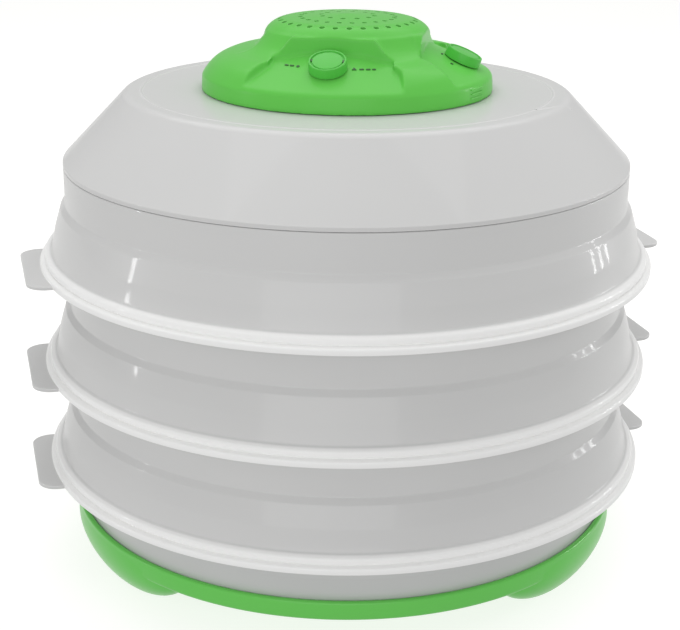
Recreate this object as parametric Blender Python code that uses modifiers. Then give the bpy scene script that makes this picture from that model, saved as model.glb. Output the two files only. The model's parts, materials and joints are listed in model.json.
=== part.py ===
"""Round food dehydrator: a footed base, a drip bowl, three stacking trays, a domed lid
and a power head with its fan, heater and two controls.

Metres, +Z up.  The origin is on the table under the middle of the base, and the head's
control panel faces -Y.
"""
import math

import bmesh
import bpy
from mathutils import Matrix, Vector

for old_object in list(bpy.data.objects):
    bpy.data.objects.remove(old_object, do_unlink=True)

MM = 0.001
GAP = 0.3 * MM              # air left between two pieces that touch
STEPS = 32                  # sides of the large turned pieces
SMALL_STEPS = 18            # sides of the small turned pieces

# --- stack: base, bowl, trays and lid ---------------------------------------------------
NECK_RADIUS = 164.2 * MM    # outside of the upper, narrow part of every wall
WALL = 2 * MM               # moulded wall of bowl, trays, lid and chassis
SEAT_DEPTH = 2 * MM         # how far a tray's floor hangs below its flange
LOCATOR_DEPTH = 3.5 * MM    # ring under a tray or lid that centres it in the neck below
LOCATOR_PLAY = 0.4 * MM     # radial play of that ring in the neck

FOOT_COUNT = 3
FOOT_TURN = math.radians(100)     # where the rear foot stands
FOOT_INSET = 23.4 * MM            # middle of a foot inside the base's edge
FOOT_LENGTH = 132 * MM            # along the edge of the base
FOOT_DEPTH = 48 * MM
FOOT_DROP = 26 * MM               # half height of the rounded form that a foot is cut from
FOOT_CENTRE_HEIGHT = 24 * MM
FOOT_SOLE = 1 * MM                # flat underside of a foot above the table
PAD_RADIUS = 9 * MM
PAD_THICKNESS = 3.2 * MM
BASE_FLANK = 1.2 * MM             # base's edge outside the neck
BASE_BOTTOM = 21.3 * MM
BASE_FLOOR = 2.5 * MM
BASE_RIM_HEIGHT = 11.2 * MM
BASE_WALL = 3.2 * MM
VENT_SLOTS = 8
VENT_SLOT_WIDTH = 4.5 * MM
VENT_SLOT_START = 10 * MM
BOWL_HEIGHT = 30.4 * MM
BOWL_NECK_STRAIGHT = 8.5 * MM
BOWL_CORNER = 3 * MM
CHIMNEY_RADIUS = 30 * MM          # raised air outlet in the middle of the bowl
CHIMNEY_HEIGHT = 14 * MM

TRAY_COUNT = 3
TRAY_HEIGHT = 57.8 * MM           # underside of the flange to the top of the neck
NECK_LENGTH = 21.1 * MM           # straight neck above the ledge
LEDGE_STEP = 2.8 * MM             # ledge outside the neck
LEDGE_DROP = 3.4 * MM
SKIRT_SPREAD = 9 * MM             # foot of the skirt outside the neck
SKIRT_FOOT_HEIGHT = 9.2 * MM
FLANGE_REACH = 15.8 * MM          # lip of the flange outside the neck
LIP_HEIGHT = 2.9 * MM
GROOVE_DEPTH = 3 * MM             # groove between the flange's lip and its upper bead
GROOVE_HEIGHT = 4.3 * MM
BEAD_INSET = 2.7 * MM
BEAD_HEIGHT = 6.6 * MM
SEAT_SPREAD = 3.8 * MM            # edge of the hanging floor outside the neck
FLOOR_THICKNESS = 2.2 * MM
HUB_HOLE = 22 * MM
SLOT_BORDER = 10.2 * MM           # floor left whole inside the neck
SLOT_RING_GAP = 10 * MM           # floor left whole between the two rings of slots
SLOT_HUB_BORDER = 12 * MM
SLOTS_PER_RING = 10
SLOT_WIDTH = 9 * MM
TAB_TURN = math.radians(25)       # the tabs lie on this line through the axis
TAB_WIDTH = 76 * MM
TAB_REACH = 10.3 * MM
TAB_THICKNESS = 2 * MM
TAB_CORNER = 11 * MM

LID_HEIGHT = 40.4 * MM
LID_TAPER = 31.7 * MM             # how far the dome draws in from its lower edge to its top
LID_EDGE_BEND = 6 * MM
LID_SHOULDER = 1.5 * MM

# --- power head, heights from the underside of its housing -------------------------------
HEAD_RADIUS = 83.9 * MM
HEAD_WALL = 2.4 * MM
HEAD_DRAFT = 0.5 * MM
HEAD_WALL_HEIGHT = 8.6 * MM
SHOULDER_WIDTH = 17.3 * MM
SHOULDER_HEIGHT = 21.4 * MM
SHOULDER_BULGE = 2.2 * MM
SADDLE_RADIUS = 53.5 * MM
SADDLE_HEIGHT = 23.6 * MM
DOME_FLAT = 32.4 * MM             # where the dome's top bends down
DOME_BEND_WIDTH = 15.5 * MM
DOME_BEND_HEIGHT = 10.3 * MM
DOME_BEND_BASE = 29.8 * MM
DOME_TOP = 42.3 * MM
GRILLE_RINGS = ((38.7 * MM, 16), (27.0 * MM, 12), (15.3 * MM, 6))
GRILLE_HOLE = 2 * MM

PANEL_TILT = math.radians(23)
PANEL_EDGE_INSET = 0.9 * MM           # lower edge of a control panel inside the housing's
PANEL_EDGE_HEIGHT = 10.2 * MM
PANEL_BACK = 46 * MM                  # upright wall behind a knob, from the axis
PANEL_HALF_BACK = 32 * MM
PANEL_HALF_EDGE = 44 * MM
BROW_HALF_TOP = 23 * MM               # half widths of the wall behind a knob
BROW_HALF_BOTTOM = 33 * MM
BROW_TOP = 35 * MM
PANEL_TURNS = (0.0, math.radians(90))
KNOB_INSETS = (23.3 * MM, 17.3 * MM)  # middle of each knob inside the panel's lower edge
KNOB_RADIUS = 10.6 * MM
KNOB_HEIGHT = 5.9 * MM
KNOB_CAP = 1.3 * MM
SPINDLE_RADIUS = 3 * MM
CONTROL_RADIUS = 11 * MM
CONTROL_DEPTH = 9 * MM

CHASSIS_INSET = 1.9 * MM
CHASSIS_SCREW_INSET = 17.9 * MM
SCREW_RADIUS = 1.6 * MM
SCREW_HEAD_RADIUS = 3 * MM
SCREW_HEAD_HEIGHT = 2 * MM
BOSS_WALL = 2.1 * MM
LID_HOLE_PLAY = 2 * MM
DECK_TOP = 0.5 * MM
DECK_THICKNESS = 2 * MM
DECK_WIDTH = 16 * MM
DUCT_DEPTH = 39.8 * MM
GUARD_WIDTH = 17 * MM
GUARD_BAR = 4 * MM
HEATER_RING_WIDTH = 7.7 * MM
HEATER_BAR = 8 * MM
COIL_RADIUS = 3 * MM
COIL_INSET = 10 * MM

MOTOR_RADIUS = 19 * MM
MOTOR_HEIGHT = 26 * MM
BRACKET_WIDTH = 24 * MM
BRACKET_OVERLAP = 12 * MM
BRACKET_TURN = math.radians(45)
MOTOR_SCREW_REACH = 13 * MM
SHAFT_RADIUS = 2 * MM
SHAFT_STUB = 2 * MM
BUSH_WALL = 1 * MM
BUSH_LENGTH = 6 * MM
FAN_DROP = 24 * MM                    # underside of the fan below the housing's
FAN_HEIGHT = 12 * MM
FAN_HUB = 9 * MM
FAN_TIP_CLEARANCE = 4 * MM
FAN_BLADES = 6
FAN_PITCH = math.radians(35)
BLADE_THICKNESS = 1.6 * MM
NUT_RADIUS = 4.5 * MM
NUT_HEIGHT = 3.4 * MM

TERMINAL_SIZE = (26 * MM, 12 * MM, 10 * MM)
FUSE_RADIUS = 2.2 * MM
FUSE_LENGTH = 14 * MM
GLAND_RADIUS = 4 * MM
GLAND_BORE = 2 * MM
GLAND_HEIGHT = 6 * MM
GLAND_FLANGE = 5.5 * MM
GLAND_LENGTH = 7 * MM

# --- sizes worked out from the ones above ------------------------------------------------
NECK_INNER = NECK_RADIUS - WALL
LOCATOR_RADIUS = NECK_INNER - LOCATOR_PLAY
RIM_RADIUS = NECK_RADIUS + FLANGE_REACH
TAB_RADIUS = RIM_RADIUS + TAB_REACH
BASE_RADIUS = NECK_RADIUS + BASE_FLANK
BASE_FLOOR_TOP = BASE_BOTTOM + BASE_FLOOR
FOOT_REACH = BASE_RADIUS - FOOT_INSET
BOWL_SEAT = BASE_FLOOR_TOP + GAP
BOWL_FOOT_RADIUS = BASE_RADIUS - BASE_WALL - GAP
TRAY_PITCH = TRAY_HEIGHT + GAP + SEAT_DEPTH
LOWEST_FLANGE = BOWL_SEAT + BOWL_HEIGHT + GAP + SEAT_DEPTH
LID_SEAT = LOWEST_FLANGE + (TRAY_COUNT - 1) * TRAY_PITCH + TRAY_HEIGHT + GAP
HEAD_SEAT = LID_SEAT + LID_HEIGHT + GAP
SCREW_HOLE = SCREW_RADIUS + GAP
BOSS_RADIUS = SCREW_HOLE + BOSS_WALL
PANEL_EDGE = HEAD_RADIUS - PANEL_EDGE_INSET
CHASSIS_SCREW_REACH = HEAD_RADIUS - CHASSIS_SCREW_INSET
CHASSIS_COLLAR = CHASSIS_SCREW_REACH + BOSS_RADIUS
CHASSIS_FLANGE = HEAD_RADIUS - CHASSIS_INSET
LID_HOLE = CHASSIS_COLLAR + LID_HOLE_PLAY
CHASSIS_FLANGE_TOP = -GAP - WALL - GAP
CHASSIS_FLANGE_BOTTOM = CHASSIS_FLANGE_TOP - WALL
DECK_BOTTOM = DECK_TOP - DECK_THICKNESS
DUCT_RADIUS = CHASSIS_SCREW_REACH - BOSS_RADIUS - WALL
DUCT_INNER = DUCT_RADIUS - WALL
DECK_HOLE = DUCT_INNER - DECK_WIDTH
GUARD_SCREW_REACH = DUCT_RADIUS + SCREW_HOLE + WALL
GUARD_RADIUS = GUARD_SCREW_REACH + SCREW_HOLE + WALL
GUARD_INNER = GUARD_RADIUS - GUARD_WIDTH
GUARD_TOP = -DUCT_DEPTH - GAP
GUARD_BOTTOM = GUARD_TOP - WALL
BRACKET_LENGTH = 2 * (DECK_HOLE + BRACKET_OVERLAP)
BRACKET_SCREW_REACH = DECK_HOLE + BRACKET_OVERLAP * 2 / 3
BRACKET_BOTTOM = DECK_TOP + GAP
BRACKET_TOP = BRACKET_BOTTOM + WALL
BUSH_BORE = SHAFT_RADIUS + GAP
BUSH_RADIUS = BUSH_BORE + BUSH_WALL
MOTOR_BOTTOM = BRACKET_TOP + GAP
MOTOR_TOP = MOTOR_BOTTOM + MOTOR_HEIGHT
FAN_BOTTOM = -FAN_DROP
FAN_TOP = FAN_BOTTOM + FAN_HEIGHT
FAN_RADIUS = DUCT_INNER - FAN_TIP_CLEARANCE
SHAFT_BOTTOM = FAN_BOTTOM - GAP - NUT_HEIGHT - SHAFT_STUB

GREEN = (0.13, 0.56, 0.09)
CLEAR_WHITE = (0.66, 0.66, 0.65)
DARK = (0.03, 0.03, 0.03)
STEEL = (0.55, 0.56, 0.57)
MICA = (0.45, 0.40, 0.30)
WHITE = (0.75, 0.75, 0.72)

parts = bpy.data.collections.new("food_dehydrator")
cutters = bpy.data.collections.new("cutters")
for collection in (parts, cutters):
    bpy.context.scene.collection.children.link(collection)


# --- helpers -----------------------------------------------------------------------------
def add_object(name, mesh, parent=None, location=(0, 0, 0), rotation=(0, 0, 0)):
    """Put a mesh in the parts collection, placed in its parent's frame."""
    piece = bpy.data.objects.new(name, mesh)
    parts.objects.link(piece)
    piece.parent = parent
    piece.location = location
    piece.rotation_euler = rotation
    return piece


def as_cutter(piece):
    """Move an object to the cutters, where it only shapes other pieces."""
    parts.objects.unlink(piece)
    cutters.objects.link(piece)
    piece.hide_render = True
    piece.display_type = 'WIRE'
    return piece


def finish(piece, colour, roughness=0.4, metallic=0.0, smooth=True):
    """Give a piece its own material and shade its round faces smooth."""
    material = bpy.data.materials.new(piece.name + "_finish")
    material.use_nodes = True
    shader = material.node_tree.nodes["Principled BSDF"]
    shader.inputs["Base Color"].default_value = (*colour, 1)
    shader.inputs["Roughness"].default_value = roughness
    shader.inputs["Metallic"].default_value = metallic
    piece.data.materials.append(material)
    if smooth:
        piece.data.shade_smooth()
        piece.data.set_sharp_from_angle(angle=math.radians(35))
    return piece


def joint_frame(name, parent=None, location=(0, 0, 0), rotation=(0, 0, 0)):
    """An empty that a moving group hangs from."""
    frame = bpy.data.objects.new(name, None)
    parts.objects.link(frame)
    frame.parent = parent
    frame.location = location
    frame.rotation_euler = rotation
    return frame


def turned(name, outline, parent=None, location=(0, 0, 0), rotation=(0, 0, 0), steps=STEPS):
    """Turn an outline of (radius, height) points about Z; its outer side runs downwards.

    An outline that starts and ends on the axis stays open there; any other is closed.
    """
    mesh = bpy.data.meshes.new(name)
    points = [(radius, 0, height) for radius, height in outline]
    edges = [(i, i + 1) for i in range(len(points) - 1)]
    if outline[0][0] > 0 or outline[-1][0] > 0:
        edges.append((len(points) - 1, 0))
    mesh.from_pydata(points, edges, [])
    piece = add_object(name, mesh, parent, location, rotation)
    screw = piece.modifiers.new("turn", 'SCREW')
    screw.angle = math.tau
    screw.steps = steps
    screw.render_steps = steps
    screw.use_merge_vertices = True
    screw.merge_threshold = 0.00001
    screw.use_smooth_shade = True
    return piece


def merged(name, builders, parent=None, location=(0, 0, 0), rotation=(0, 0, 0)):
    """One mesh from several primitives, each added by a function of the bmesh."""
    mesh = bpy.data.meshes.new(name)
    shape = bmesh.new()
    for build in builders:
        build(shape)
    shape.to_mesh(mesh)
    shape.free()
    return add_object(name, mesh, parent, location, rotation)


def rod(radius, bottom, top, at=(0, 0), sides=12, turn=0.0, top_radius=None):
    """A builder of an upright cylinder or cone between two heights."""
    def build(shape):
        place = Matrix.Translation((at[0], at[1], (bottom + top) / 2))
        bmesh.ops.create_cone(shape, cap_ends=True, segments=sides, radius1=radius,
                              radius2=radius if top_radius is None else top_radius,
                              depth=top - bottom,
                              matrix=place @ Matrix.Rotation(turn, 4, 'Z'))
    return build


def block(low, high, turn=0.0):
    """A builder of a box between two corners, then turned about Z."""
    def build(shape):
        low_corner, high_corner = Vector(low), Vector(high)
        size = high_corner - low_corner
        place = Matrix.Rotation(turn, 4, 'Z') @ Matrix.Translation((low_corner + high_corner) / 2)
        bmesh.ops.create_cube(shape, size=1, matrix=place @ Matrix.Diagonal((*size, 1)))
    return build


def polar(radius, angle):
    return (radius * math.cos(angle), radius * math.sin(angle))


def ring_angles(count, start=0.0):
    return [start + math.tau * i / count for i in range(count)]


def arc(centre, half_sizes, start, end, segments):
    """Points of an elliptical arc in an outline, angles measured from +radius."""
    points = []
    for i in range(segments + 1):
        angle = start + (end - start) * i / segments
        points.append((centre[0] + half_sizes[0] * math.cos(angle),
                       centre[1] + half_sizes[1] * math.sin(angle)))
    return points


def bulged(start, end, bulge, segments):
    """Points from start to end along an arc that stands out from their chord by bulge."""
    along = Vector(end) - Vector(start)
    outward = Vector((-along.y, along.x)).normalized()
    if outward.x < 0:
        outward = -outward
    points = []
    for i in range(segments + 1):
        share = i / segments
        point = Vector(start) + along * share + outward * bulge * math.sin(math.pi * share)
        points.append(tuple(point))
    return points


def combine(piece, other, operation):
    """Boolean one object with another, which becomes a cutter."""
    if other.name in parts.objects:
        as_cutter(other)
    step = piece.modifiers.new(operation.lower() + "_" + other.name, 'BOOLEAN')
    step.operation = operation
    step.solver = 'EXACT'
    step.object = other


def screw(name, parent, location, length, rotation=(0, 0, 0)):
    """A pan-head screw whose head sits above z=0 and whose shank points down."""
    outline = [(0, SCREW_HEAD_HEIGHT), (SCREW_HEAD_RADIUS * 0.6, SCREW_HEAD_HEIGHT),
               (SCREW_HEAD_RADIUS, SCREW_HEAD_HEIGHT * 0.5), (SCREW_HEAD_RADIUS, 0),
               (SCREW_RADIUS, 0), (SCREW_RADIUS, -length), (0, -length)]
    piece = turned(name, outline, parent, location, rotation, steps=8)
    return finish(piece, STEEL, roughness=0.3, metallic=1)


# --- base ----------------------------------------------------------------------------------
def make_base(stand):
    inner = BASE_RADIUS - BASE_WALL
    rim_top = BASE_BOTTOM + BASE_RIM_HEIGHT
    edge = BASE_WALL / 3
    base = turned("base", [(0, BASE_FLOOR_TOP), (inner, BASE_FLOOR_TOP), (inner, rim_top),
                           (BASE_RADIUS - edge, rim_top), (BASE_RADIUS, rim_top - edge),
                           (BASE_RADIUS, BASE_BOTTOM + BASE_WALL),
                           (BASE_RADIUS - 2 * edge, BASE_BOTTOM), (0, BASE_BOTTOM)], stand)
    finish(base, GREEN, roughness=0.3)

    def feet(shape):
        for angle in ring_angles(FOOT_COUNT, FOOT_TURN):
            x, y = polar(FOOT_REACH, angle)
            place = Matrix.Translation((x, y, FOOT_CENTRE_HEIGHT))
            place = place @ Matrix.Rotation(angle + math.pi / 2, 4, 'Z')
            place = place @ Matrix.Diagonal((FOOT_LENGTH / 2, FOOT_DEPTH / 2, FOOT_DROP, 1))
            bmesh.ops.create_uvsphere(shape, u_segments=20, v_segments=12, radius=1, matrix=place)

    far = 2 * BASE_RADIUS
    bulges = merged("foot_bulges", [feet], stand)
    for name, trim in (("above_feet", block((-far, -far, rim_top - edge), (far, far, far))),
                       ("inside_feet", rod(inner + edge, BASE_FLOOR_TOP - edge, far, sides=STEPS)),
                       ("below_soles", block((-far, -far, -far), (far, far, FOOT_SOLE)))):
        combine(bulges, merged(name, [trim], stand), 'DIFFERENCE')
    combine(base, bulges, 'UNION')
    pockets = []
    for angle in ring_angles(FOOT_COUNT, FOOT_TURN):
        pockets.append(rod(PAD_RADIUS + GAP, -BASE_FLOOR, PAD_THICKNESS + GAP,
                           at=polar(FOOT_REACH, angle), sides=16))
    combine(base, merged("pad_pockets", pockets, stand), 'DIFFERENCE')
    slots = []
    for angle in ring_angles(VENT_SLOTS):
        slots.append(block((VENT_SLOT_START, -VENT_SLOT_WIDTH / 2, 0),
                           (CHIMNEY_RADIUS - WALL - GAP, VENT_SLOT_WIDTH / 2, 2 * BASE_BOTTOM),
                           angle))
    combine(base, merged("base_vents", slots, stand), 'DIFFERENCE')

    for number, angle in enumerate(ring_angles(FOOT_COUNT, FOOT_TURN), start=1):
        pad = merged(f"foot_pad_{number}", [rod(PAD_RADIUS, 0, PAD_THICKNESS, sides=16)],
                     stand, location=(*polar(FOOT_REACH, angle), 0))
        finish(pad, DARK, roughness=0.9)


def make_bowl(lift):
    """The bowl's own frame has z=0 on the underside of its floor."""
    height = BOWL_HEIGHT
    rim = BASE_BOTTOM + BASE_RIM_HEIGHT - BOWL_SEAT
    corner = BOWL_CORNER
    bowl = turned("drip_bowl", [
        (NECK_RADIUS, height), (NECK_RADIUS, height - BOWL_NECK_STRAIGHT),
        (BOWL_FOOT_RADIUS, rim), (BOWL_FOOT_RADIUS, corner), (BOWL_FOOT_RADIUS - corner, 0),
        (CHIMNEY_RADIUS - WALL, 0),
        (CHIMNEY_RADIUS - WALL, CHIMNEY_HEIGHT), (CHIMNEY_RADIUS, CHIMNEY_HEIGHT),
        (CHIMNEY_RADIUS, WALL), (BOWL_FOOT_RADIUS - corner - WALL / 2, WALL),
        (BOWL_FOOT_RADIUS - WALL, corner + WALL / 2), (BOWL_FOOT_RADIUS - WALL, rim),
        (NECK_INNER, height - BOWL_NECK_STRAIGHT),
        (NECK_INNER, height)], lift)
    finish(bowl, CLEAR_WHITE, roughness=0.3)


# --- trays ---------------------------------------------------------------------------------
def tab_outline_builder(angle):
    """A flat grip tab with rounded outer corners, from inside the flange outwards."""
    def build(shape):
        inner = NECK_RADIUS + SKIRT_SPREAD
        half = TAB_WIDTH / 2
        points = [(inner, -half)]
        middle = (TAB_RADIUS - TAB_CORNER, -half + TAB_CORNER)
        points += arc(middle, (TAB_CORNER, TAB_CORNER), -math.pi / 2, 0, 4)
        middle = (TAB_RADIUS - TAB_CORNER, half - TAB_CORNER)
        points += arc(middle, (TAB_CORNER, TAB_CORNER), 0, math.pi / 2, 4)
        points.append((inner, half))
        turn = Matrix.Rotation(angle, 3, 'Z')
        corners = [shape.verts.new(turn @ Vector((x, y, GAP))) for x, y in points]
        face = shape.faces.new(corners)
        raised = bmesh.ops.extrude_face_region(shape, geom=[face])
        top = [item for item in raised["geom"] if isinstance(item, bmesh.types.BMVert)]
        bmesh.ops.translate(shape, verts=top, vec=(0, 0, TAB_THICKNESS))
        bmesh.ops.recalc_face_normals(shape, faces=shape.faces)
    return build


def make_tray(name, lift):
    """The tray's own frame has z=0 on the underside of its flange."""
    floor_bottom = -SEAT_DEPTH
    floor_top = floor_bottom + FLOOR_THICKNESS
    locator_inner = LOCATOR_RADIUS - WALL
    neck_foot = TRAY_HEIGHT - NECK_LENGTH
    ledge = (NECK_RADIUS + LEDGE_STEP, neck_foot - LEDGE_DROP)
    skirt_foot = (NECK_RADIUS + SKIRT_SPREAD, SKIRT_FOOT_HEIGHT)
    seat_radius = NECK_RADIUS + SEAT_SPREAD
    tray = turned(name, [
        (NECK_RADIUS, TRAY_HEIGHT), (NECK_RADIUS, neck_foot), ledge, skirt_foot,
        (RIM_RADIUS - BEAD_INSET, BEAD_HEIGHT), (RIM_RADIUS - GROOVE_DEPTH, GROOVE_HEIGHT),
        (RIM_RADIUS, LIP_HEIGHT), (RIM_RADIUS, 0), (seat_radius, 0),
        (seat_radius, floor_bottom), (LOCATOR_RADIUS, floor_bottom),
        (LOCATOR_RADIUS, floor_bottom - LOCATOR_DEPTH),
        (locator_inner, floor_bottom - LOCATOR_DEPTH), (locator_inner, floor_bottom),
        (HUB_HOLE, floor_bottom), (HUB_HOLE, floor_top),
        (skirt_foot[0] - WALL, floor_top), (ledge[0] - WALL, ledge[1]),
        (NECK_INNER, neck_foot), (NECK_INNER, TRAY_HEIGHT)], lift)
    tabs = [tab_outline_builder(TAB_TURN), tab_outline_builder(TAB_TURN + math.pi)]
    combine(tray, merged(name + "_tabs", tabs, lift), 'UNION')
    slot_start = HUB_HOLE + SLOT_HUB_BORDER
    slot_end = NECK_INNER - SLOT_BORDER
    slot_middle = (slot_start + slot_end) / 2
    slots = []
    for inner, outer in ((slot_start, slot_middle - SLOT_RING_GAP / 2),
                         (slot_middle + SLOT_RING_GAP / 2, slot_end)):
        for angle in ring_angles(SLOTS_PER_RING, math.pi / SLOTS_PER_RING):
            slots.append(block((inner, -SLOT_WIDTH / 2, floor_bottom - WALL),
                               (outer, SLOT_WIDTH / 2, floor_top + WALL), angle))
    combine(tray, merged(name + "_slots", slots, lift), 'DIFFERENCE')
    finish(tray, CLEAR_WHITE, roughness=0.3)


def make_lid(lift):
    """The lid's own frame has z=0 on its lower edge."""
    locator_inner = LOCATOR_RADIUS - WALL
    slope = math.atan2(LID_TAPER, LID_HEIGHT - LID_SHOULDER)
    bend_centre = (NECK_RADIUS - LID_TAPER - LID_EDGE_BEND, LID_HEIGHT - LID_EDGE_BEND)
    inner_size = LID_EDGE_BEND - WALL
    outer_bend = arc(bend_centre, (LID_EDGE_BEND, LID_EDGE_BEND), math.pi / 2, slope, 3)
    inner_bend = arc(bend_centre, (inner_size, inner_size), slope, math.pi / 2, 3)
    lid = turned("lid", [
        (LID_HOLE, LID_HEIGHT), *outer_bend, (NECK_RADIUS, LID_SHOULDER), (NECK_RADIUS, 0),
        (LOCATOR_RADIUS, 0), (LOCATOR_RADIUS, -LOCATOR_DEPTH), (locator_inner, -LOCATOR_DEPTH),
        (locator_inner, WALL), *inner_bend, (LID_HOLE, LID_HEIGHT - WALL)], lift)
    finish(lid, CLEAR_WHITE, roughness=0.3)


# --- power head ----------------------------------------------------------------------------
def head_outline(wall):
    """Outline of the housing's hill, moved inwards by a wall."""
    dome = arc((DOME_FLAT, DOME_BEND_BASE), (DOME_BEND_WIDTH - wall, DOME_BEND_HEIGHT - wall),
               math.pi / 2, 0, 3)
    shoulder = bulged((HEAD_RADIUS - SHOULDER_WIDTH - wall / 2, SHOULDER_HEIGHT - wall),
                      (HEAD_RADIUS - HEAD_DRAFT - wall, HEAD_WALL_HEIGHT - wall / 2),
                      SHOULDER_BULGE, 4)
    bottom = -wall
    return [(0, DOME_TOP - wall), *dome, (SADDLE_RADIUS - wall / 2, SADDLE_HEIGHT - wall),
            *shoulder, (HEAD_RADIUS - wall, bottom), (0, bottom)]


def panel_height(reach):
    """Height of a control panel's face at a distance from the axis."""
    return PANEL_EDGE_HEIGHT + (PANEL_EDGE - reach) * math.tan(PANEL_TILT)


def panel_wedge(wall):
    """Everything above a control panel and in front of its upright wall, plus a wall."""
    def build(shape):
        made = bmesh.ops.create_cube(shape, size=2)
        far, sky = 1.3 * HEAD_RADIUS, 2 * DOME_TOP
        back = PANEL_BACK - wall
        spread = (PANEL_HALF_EDGE - PANEL_HALF_BACK) / (PANEL_EDGE - PANEL_BACK)
        for corner in made["verts"]:
            reach = far if corner.co.y < 0 else back
            half = PANEL_HALF_BACK + (reach - PANEL_BACK) * spread + wall
            floor = panel_height(reach) - wall / math.cos(PANEL_TILT)
            corner.co = (half * corner.co.x, -reach, sky if corner.co.z > 0 else floor)
    return build


def brow(shape):
    """The block whose front face is the upright wall behind a knob."""
    made = bmesh.ops.create_cube(shape, size=2)
    bottom = panel_height(PANEL_BACK) - WALL
    for corner in made["verts"]:
        half = BROW_HALF_TOP if corner.co.z > 0 else BROW_HALF_BOTTOM
        reach = PANEL_BACK if corner.co.y < 0 else PANEL_BACK / 2
        corner.co = (half * corner.co.x, -reach, BROW_TOP if corner.co.z > 0 else bottom)


def panel_frame(name, parent, number):
    """Frame on a panel's face at its knob, with +Z out along the spindle."""
    turn = PANEL_TURNS[number]
    reach = PANEL_EDGE - KNOB_INSETS[number]
    spot = Matrix.Rotation(turn, 3, 'Z') @ Vector((0, -reach, panel_height(reach)))
    tilt = (Matrix.Rotation(turn, 3, 'Z') @ Matrix.Rotation(PANEL_TILT, 3, 'X')).to_euler()
    return joint_frame(name, parent, spot, tilt)


def make_housing(head, spindle_frames):
    outer = turned("head_housing", head_outline(0), head)
    finish(outer, GREEN, roughness=0.3)
    core = as_cutter(turned("head_room", head_outline(HEAD_WALL), head))
    for number, turn in enumerate(PANEL_TURNS):
        combine(outer, merged(f"brow_{number}", [brow], head, rotation=(0, 0, turn)), 'UNION')
    for number, turn in enumerate(PANEL_TURNS):
        combine(outer, merged(f"panel_cut_{number}", [panel_wedge(0)], head,
                              rotation=(0, 0, turn)), 'DIFFERENCE')
        combine(core, merged(f"panel_keep_{number}", [panel_wedge(HEAD_WALL)], head,
                             rotation=(0, 0, turn)), 'DIFFERENCE')
    combine(outer, core, 'DIFFERENCE')

    corners = ring_angles(4, math.radians(45))
    boss_bottom = DECK_TOP + GAP
    boss_top = SHOULDER_HEIGHT - HEAD_WALL / 2
    bosses = [rod(BOSS_RADIUS, boss_bottom, boss_top, at=polar(CHASSIS_SCREW_REACH, angle),
                  sides=10) for angle in corners]
    combine(outer, merged("head_bosses", bosses, head), 'UNION')
    holes = [rod(SCREW_HOLE, -DECK_THICKNESS, boss_bottom + 12 * MM,
                 at=polar(CHASSIS_SCREW_REACH, angle), sides=8) for angle in corners]
    combine(outer, merged("boss_holes", holes, head), 'DIFFERENCE')

    grille = []
    for radius, count in GRILLE_RINGS:
        for angle in ring_angles(count, math.pi / count):
            grille.append(rod(GRILLE_HOLE, SADDLE_HEIGHT, 2 * DOME_TOP,
                              at=polar(radius, angle), sides=4, turn=angle + math.pi / 4))
    combine(outer, merged("grille_holes", grille, head), 'DIFFERENCE')
    for frame in spindle_frames:
        hole = merged(frame.name + "_hole", [rod(SPINDLE_RADIUS + GAP, -2 * HEAD_WALL,
                                                 2 * HEAD_WALL)], frame)
        combine(outer, hole, 'DIFFERENCE')
    gland_hole = merged("gland_hole", [rod(GLAND_RADIUS + GAP, -4 * HEAD_WALL, 4 * HEAD_WALL)],
                        head, location=(0, HEAD_RADIUS, GLAND_HEIGHT),
                        rotation=(-math.pi / 2, 0, 0))
    combine(outer, gland_hole, 'DIFFERENCE')


def make_chassis(head):
    """The moulding under the lid that clamps it and holds the fan's duct."""
    chassis = turned("fan_chassis", [
        (CHASSIS_COLLAR, DECK_TOP), (CHASSIS_COLLAR, CHASSIS_FLANGE_TOP),
        (CHASSIS_FLANGE, CHASSIS_FLANGE_TOP), (CHASSIS_FLANGE, CHASSIS_FLANGE_BOTTOM),
        (DUCT_RADIUS, CHASSIS_FLANGE_BOTTOM), (DUCT_RADIUS, -DUCT_DEPTH),
        (DUCT_INNER, -DUCT_DEPTH), (DUCT_INNER, DECK_BOTTOM), (DECK_HOLE, DECK_BOTTOM),
        (DECK_HOLE, DECK_TOP)], head)
    finish(chassis, DARK, roughness=0.5)
    bosses = [rod(SCREW_HOLE + WALL / 2, -DUCT_DEPTH, CHASSIS_FLANGE_TOP - WALL / 2,
                  at=polar(GUARD_SCREW_REACH, angle), sides=8)
              for angle in ring_angles(3, math.radians(30))]
    combine(chassis, merged("duct_bosses", bosses, head), 'UNION')
    holes = []
    for angle in ring_angles(4, math.radians(45)):
        holes.append(rod(SCREW_HOLE, CHASSIS_FLANGE_BOTTOM - WALL, DECK_TOP + WALL,
                         at=polar(CHASSIS_SCREW_REACH, angle), sides=8))
    for side in (0, math.pi):
        holes.append(rod(SCREW_HOLE, DECK_BOTTOM - WALL, DECK_TOP + WALL,
                         at=polar(BRACKET_SCREW_REACH, BRACKET_TURN + side), sides=8))
    for angle in ring_angles(3, math.radians(30)):
        holes.append(rod(SCREW_HOLE, -DUCT_DEPTH - WALL, -DUCT_DEPTH + 12 * MM,
                         at=polar(GUARD_SCREW_REACH, angle), sides=8))
    combine(chassis, merged("chassis_holes", holes, head), 'DIFFERENCE')
    for number, angle in enumerate(ring_angles(4, math.radians(45)), start=1):
        spot = (*polar(CHASSIS_SCREW_REACH, angle), CHASSIS_FLANGE_BOTTOM - GAP)
        screw(f"chassis_screw_{number}", head, spot, 14 * MM, rotation=(math.pi, 0, 0))


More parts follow.
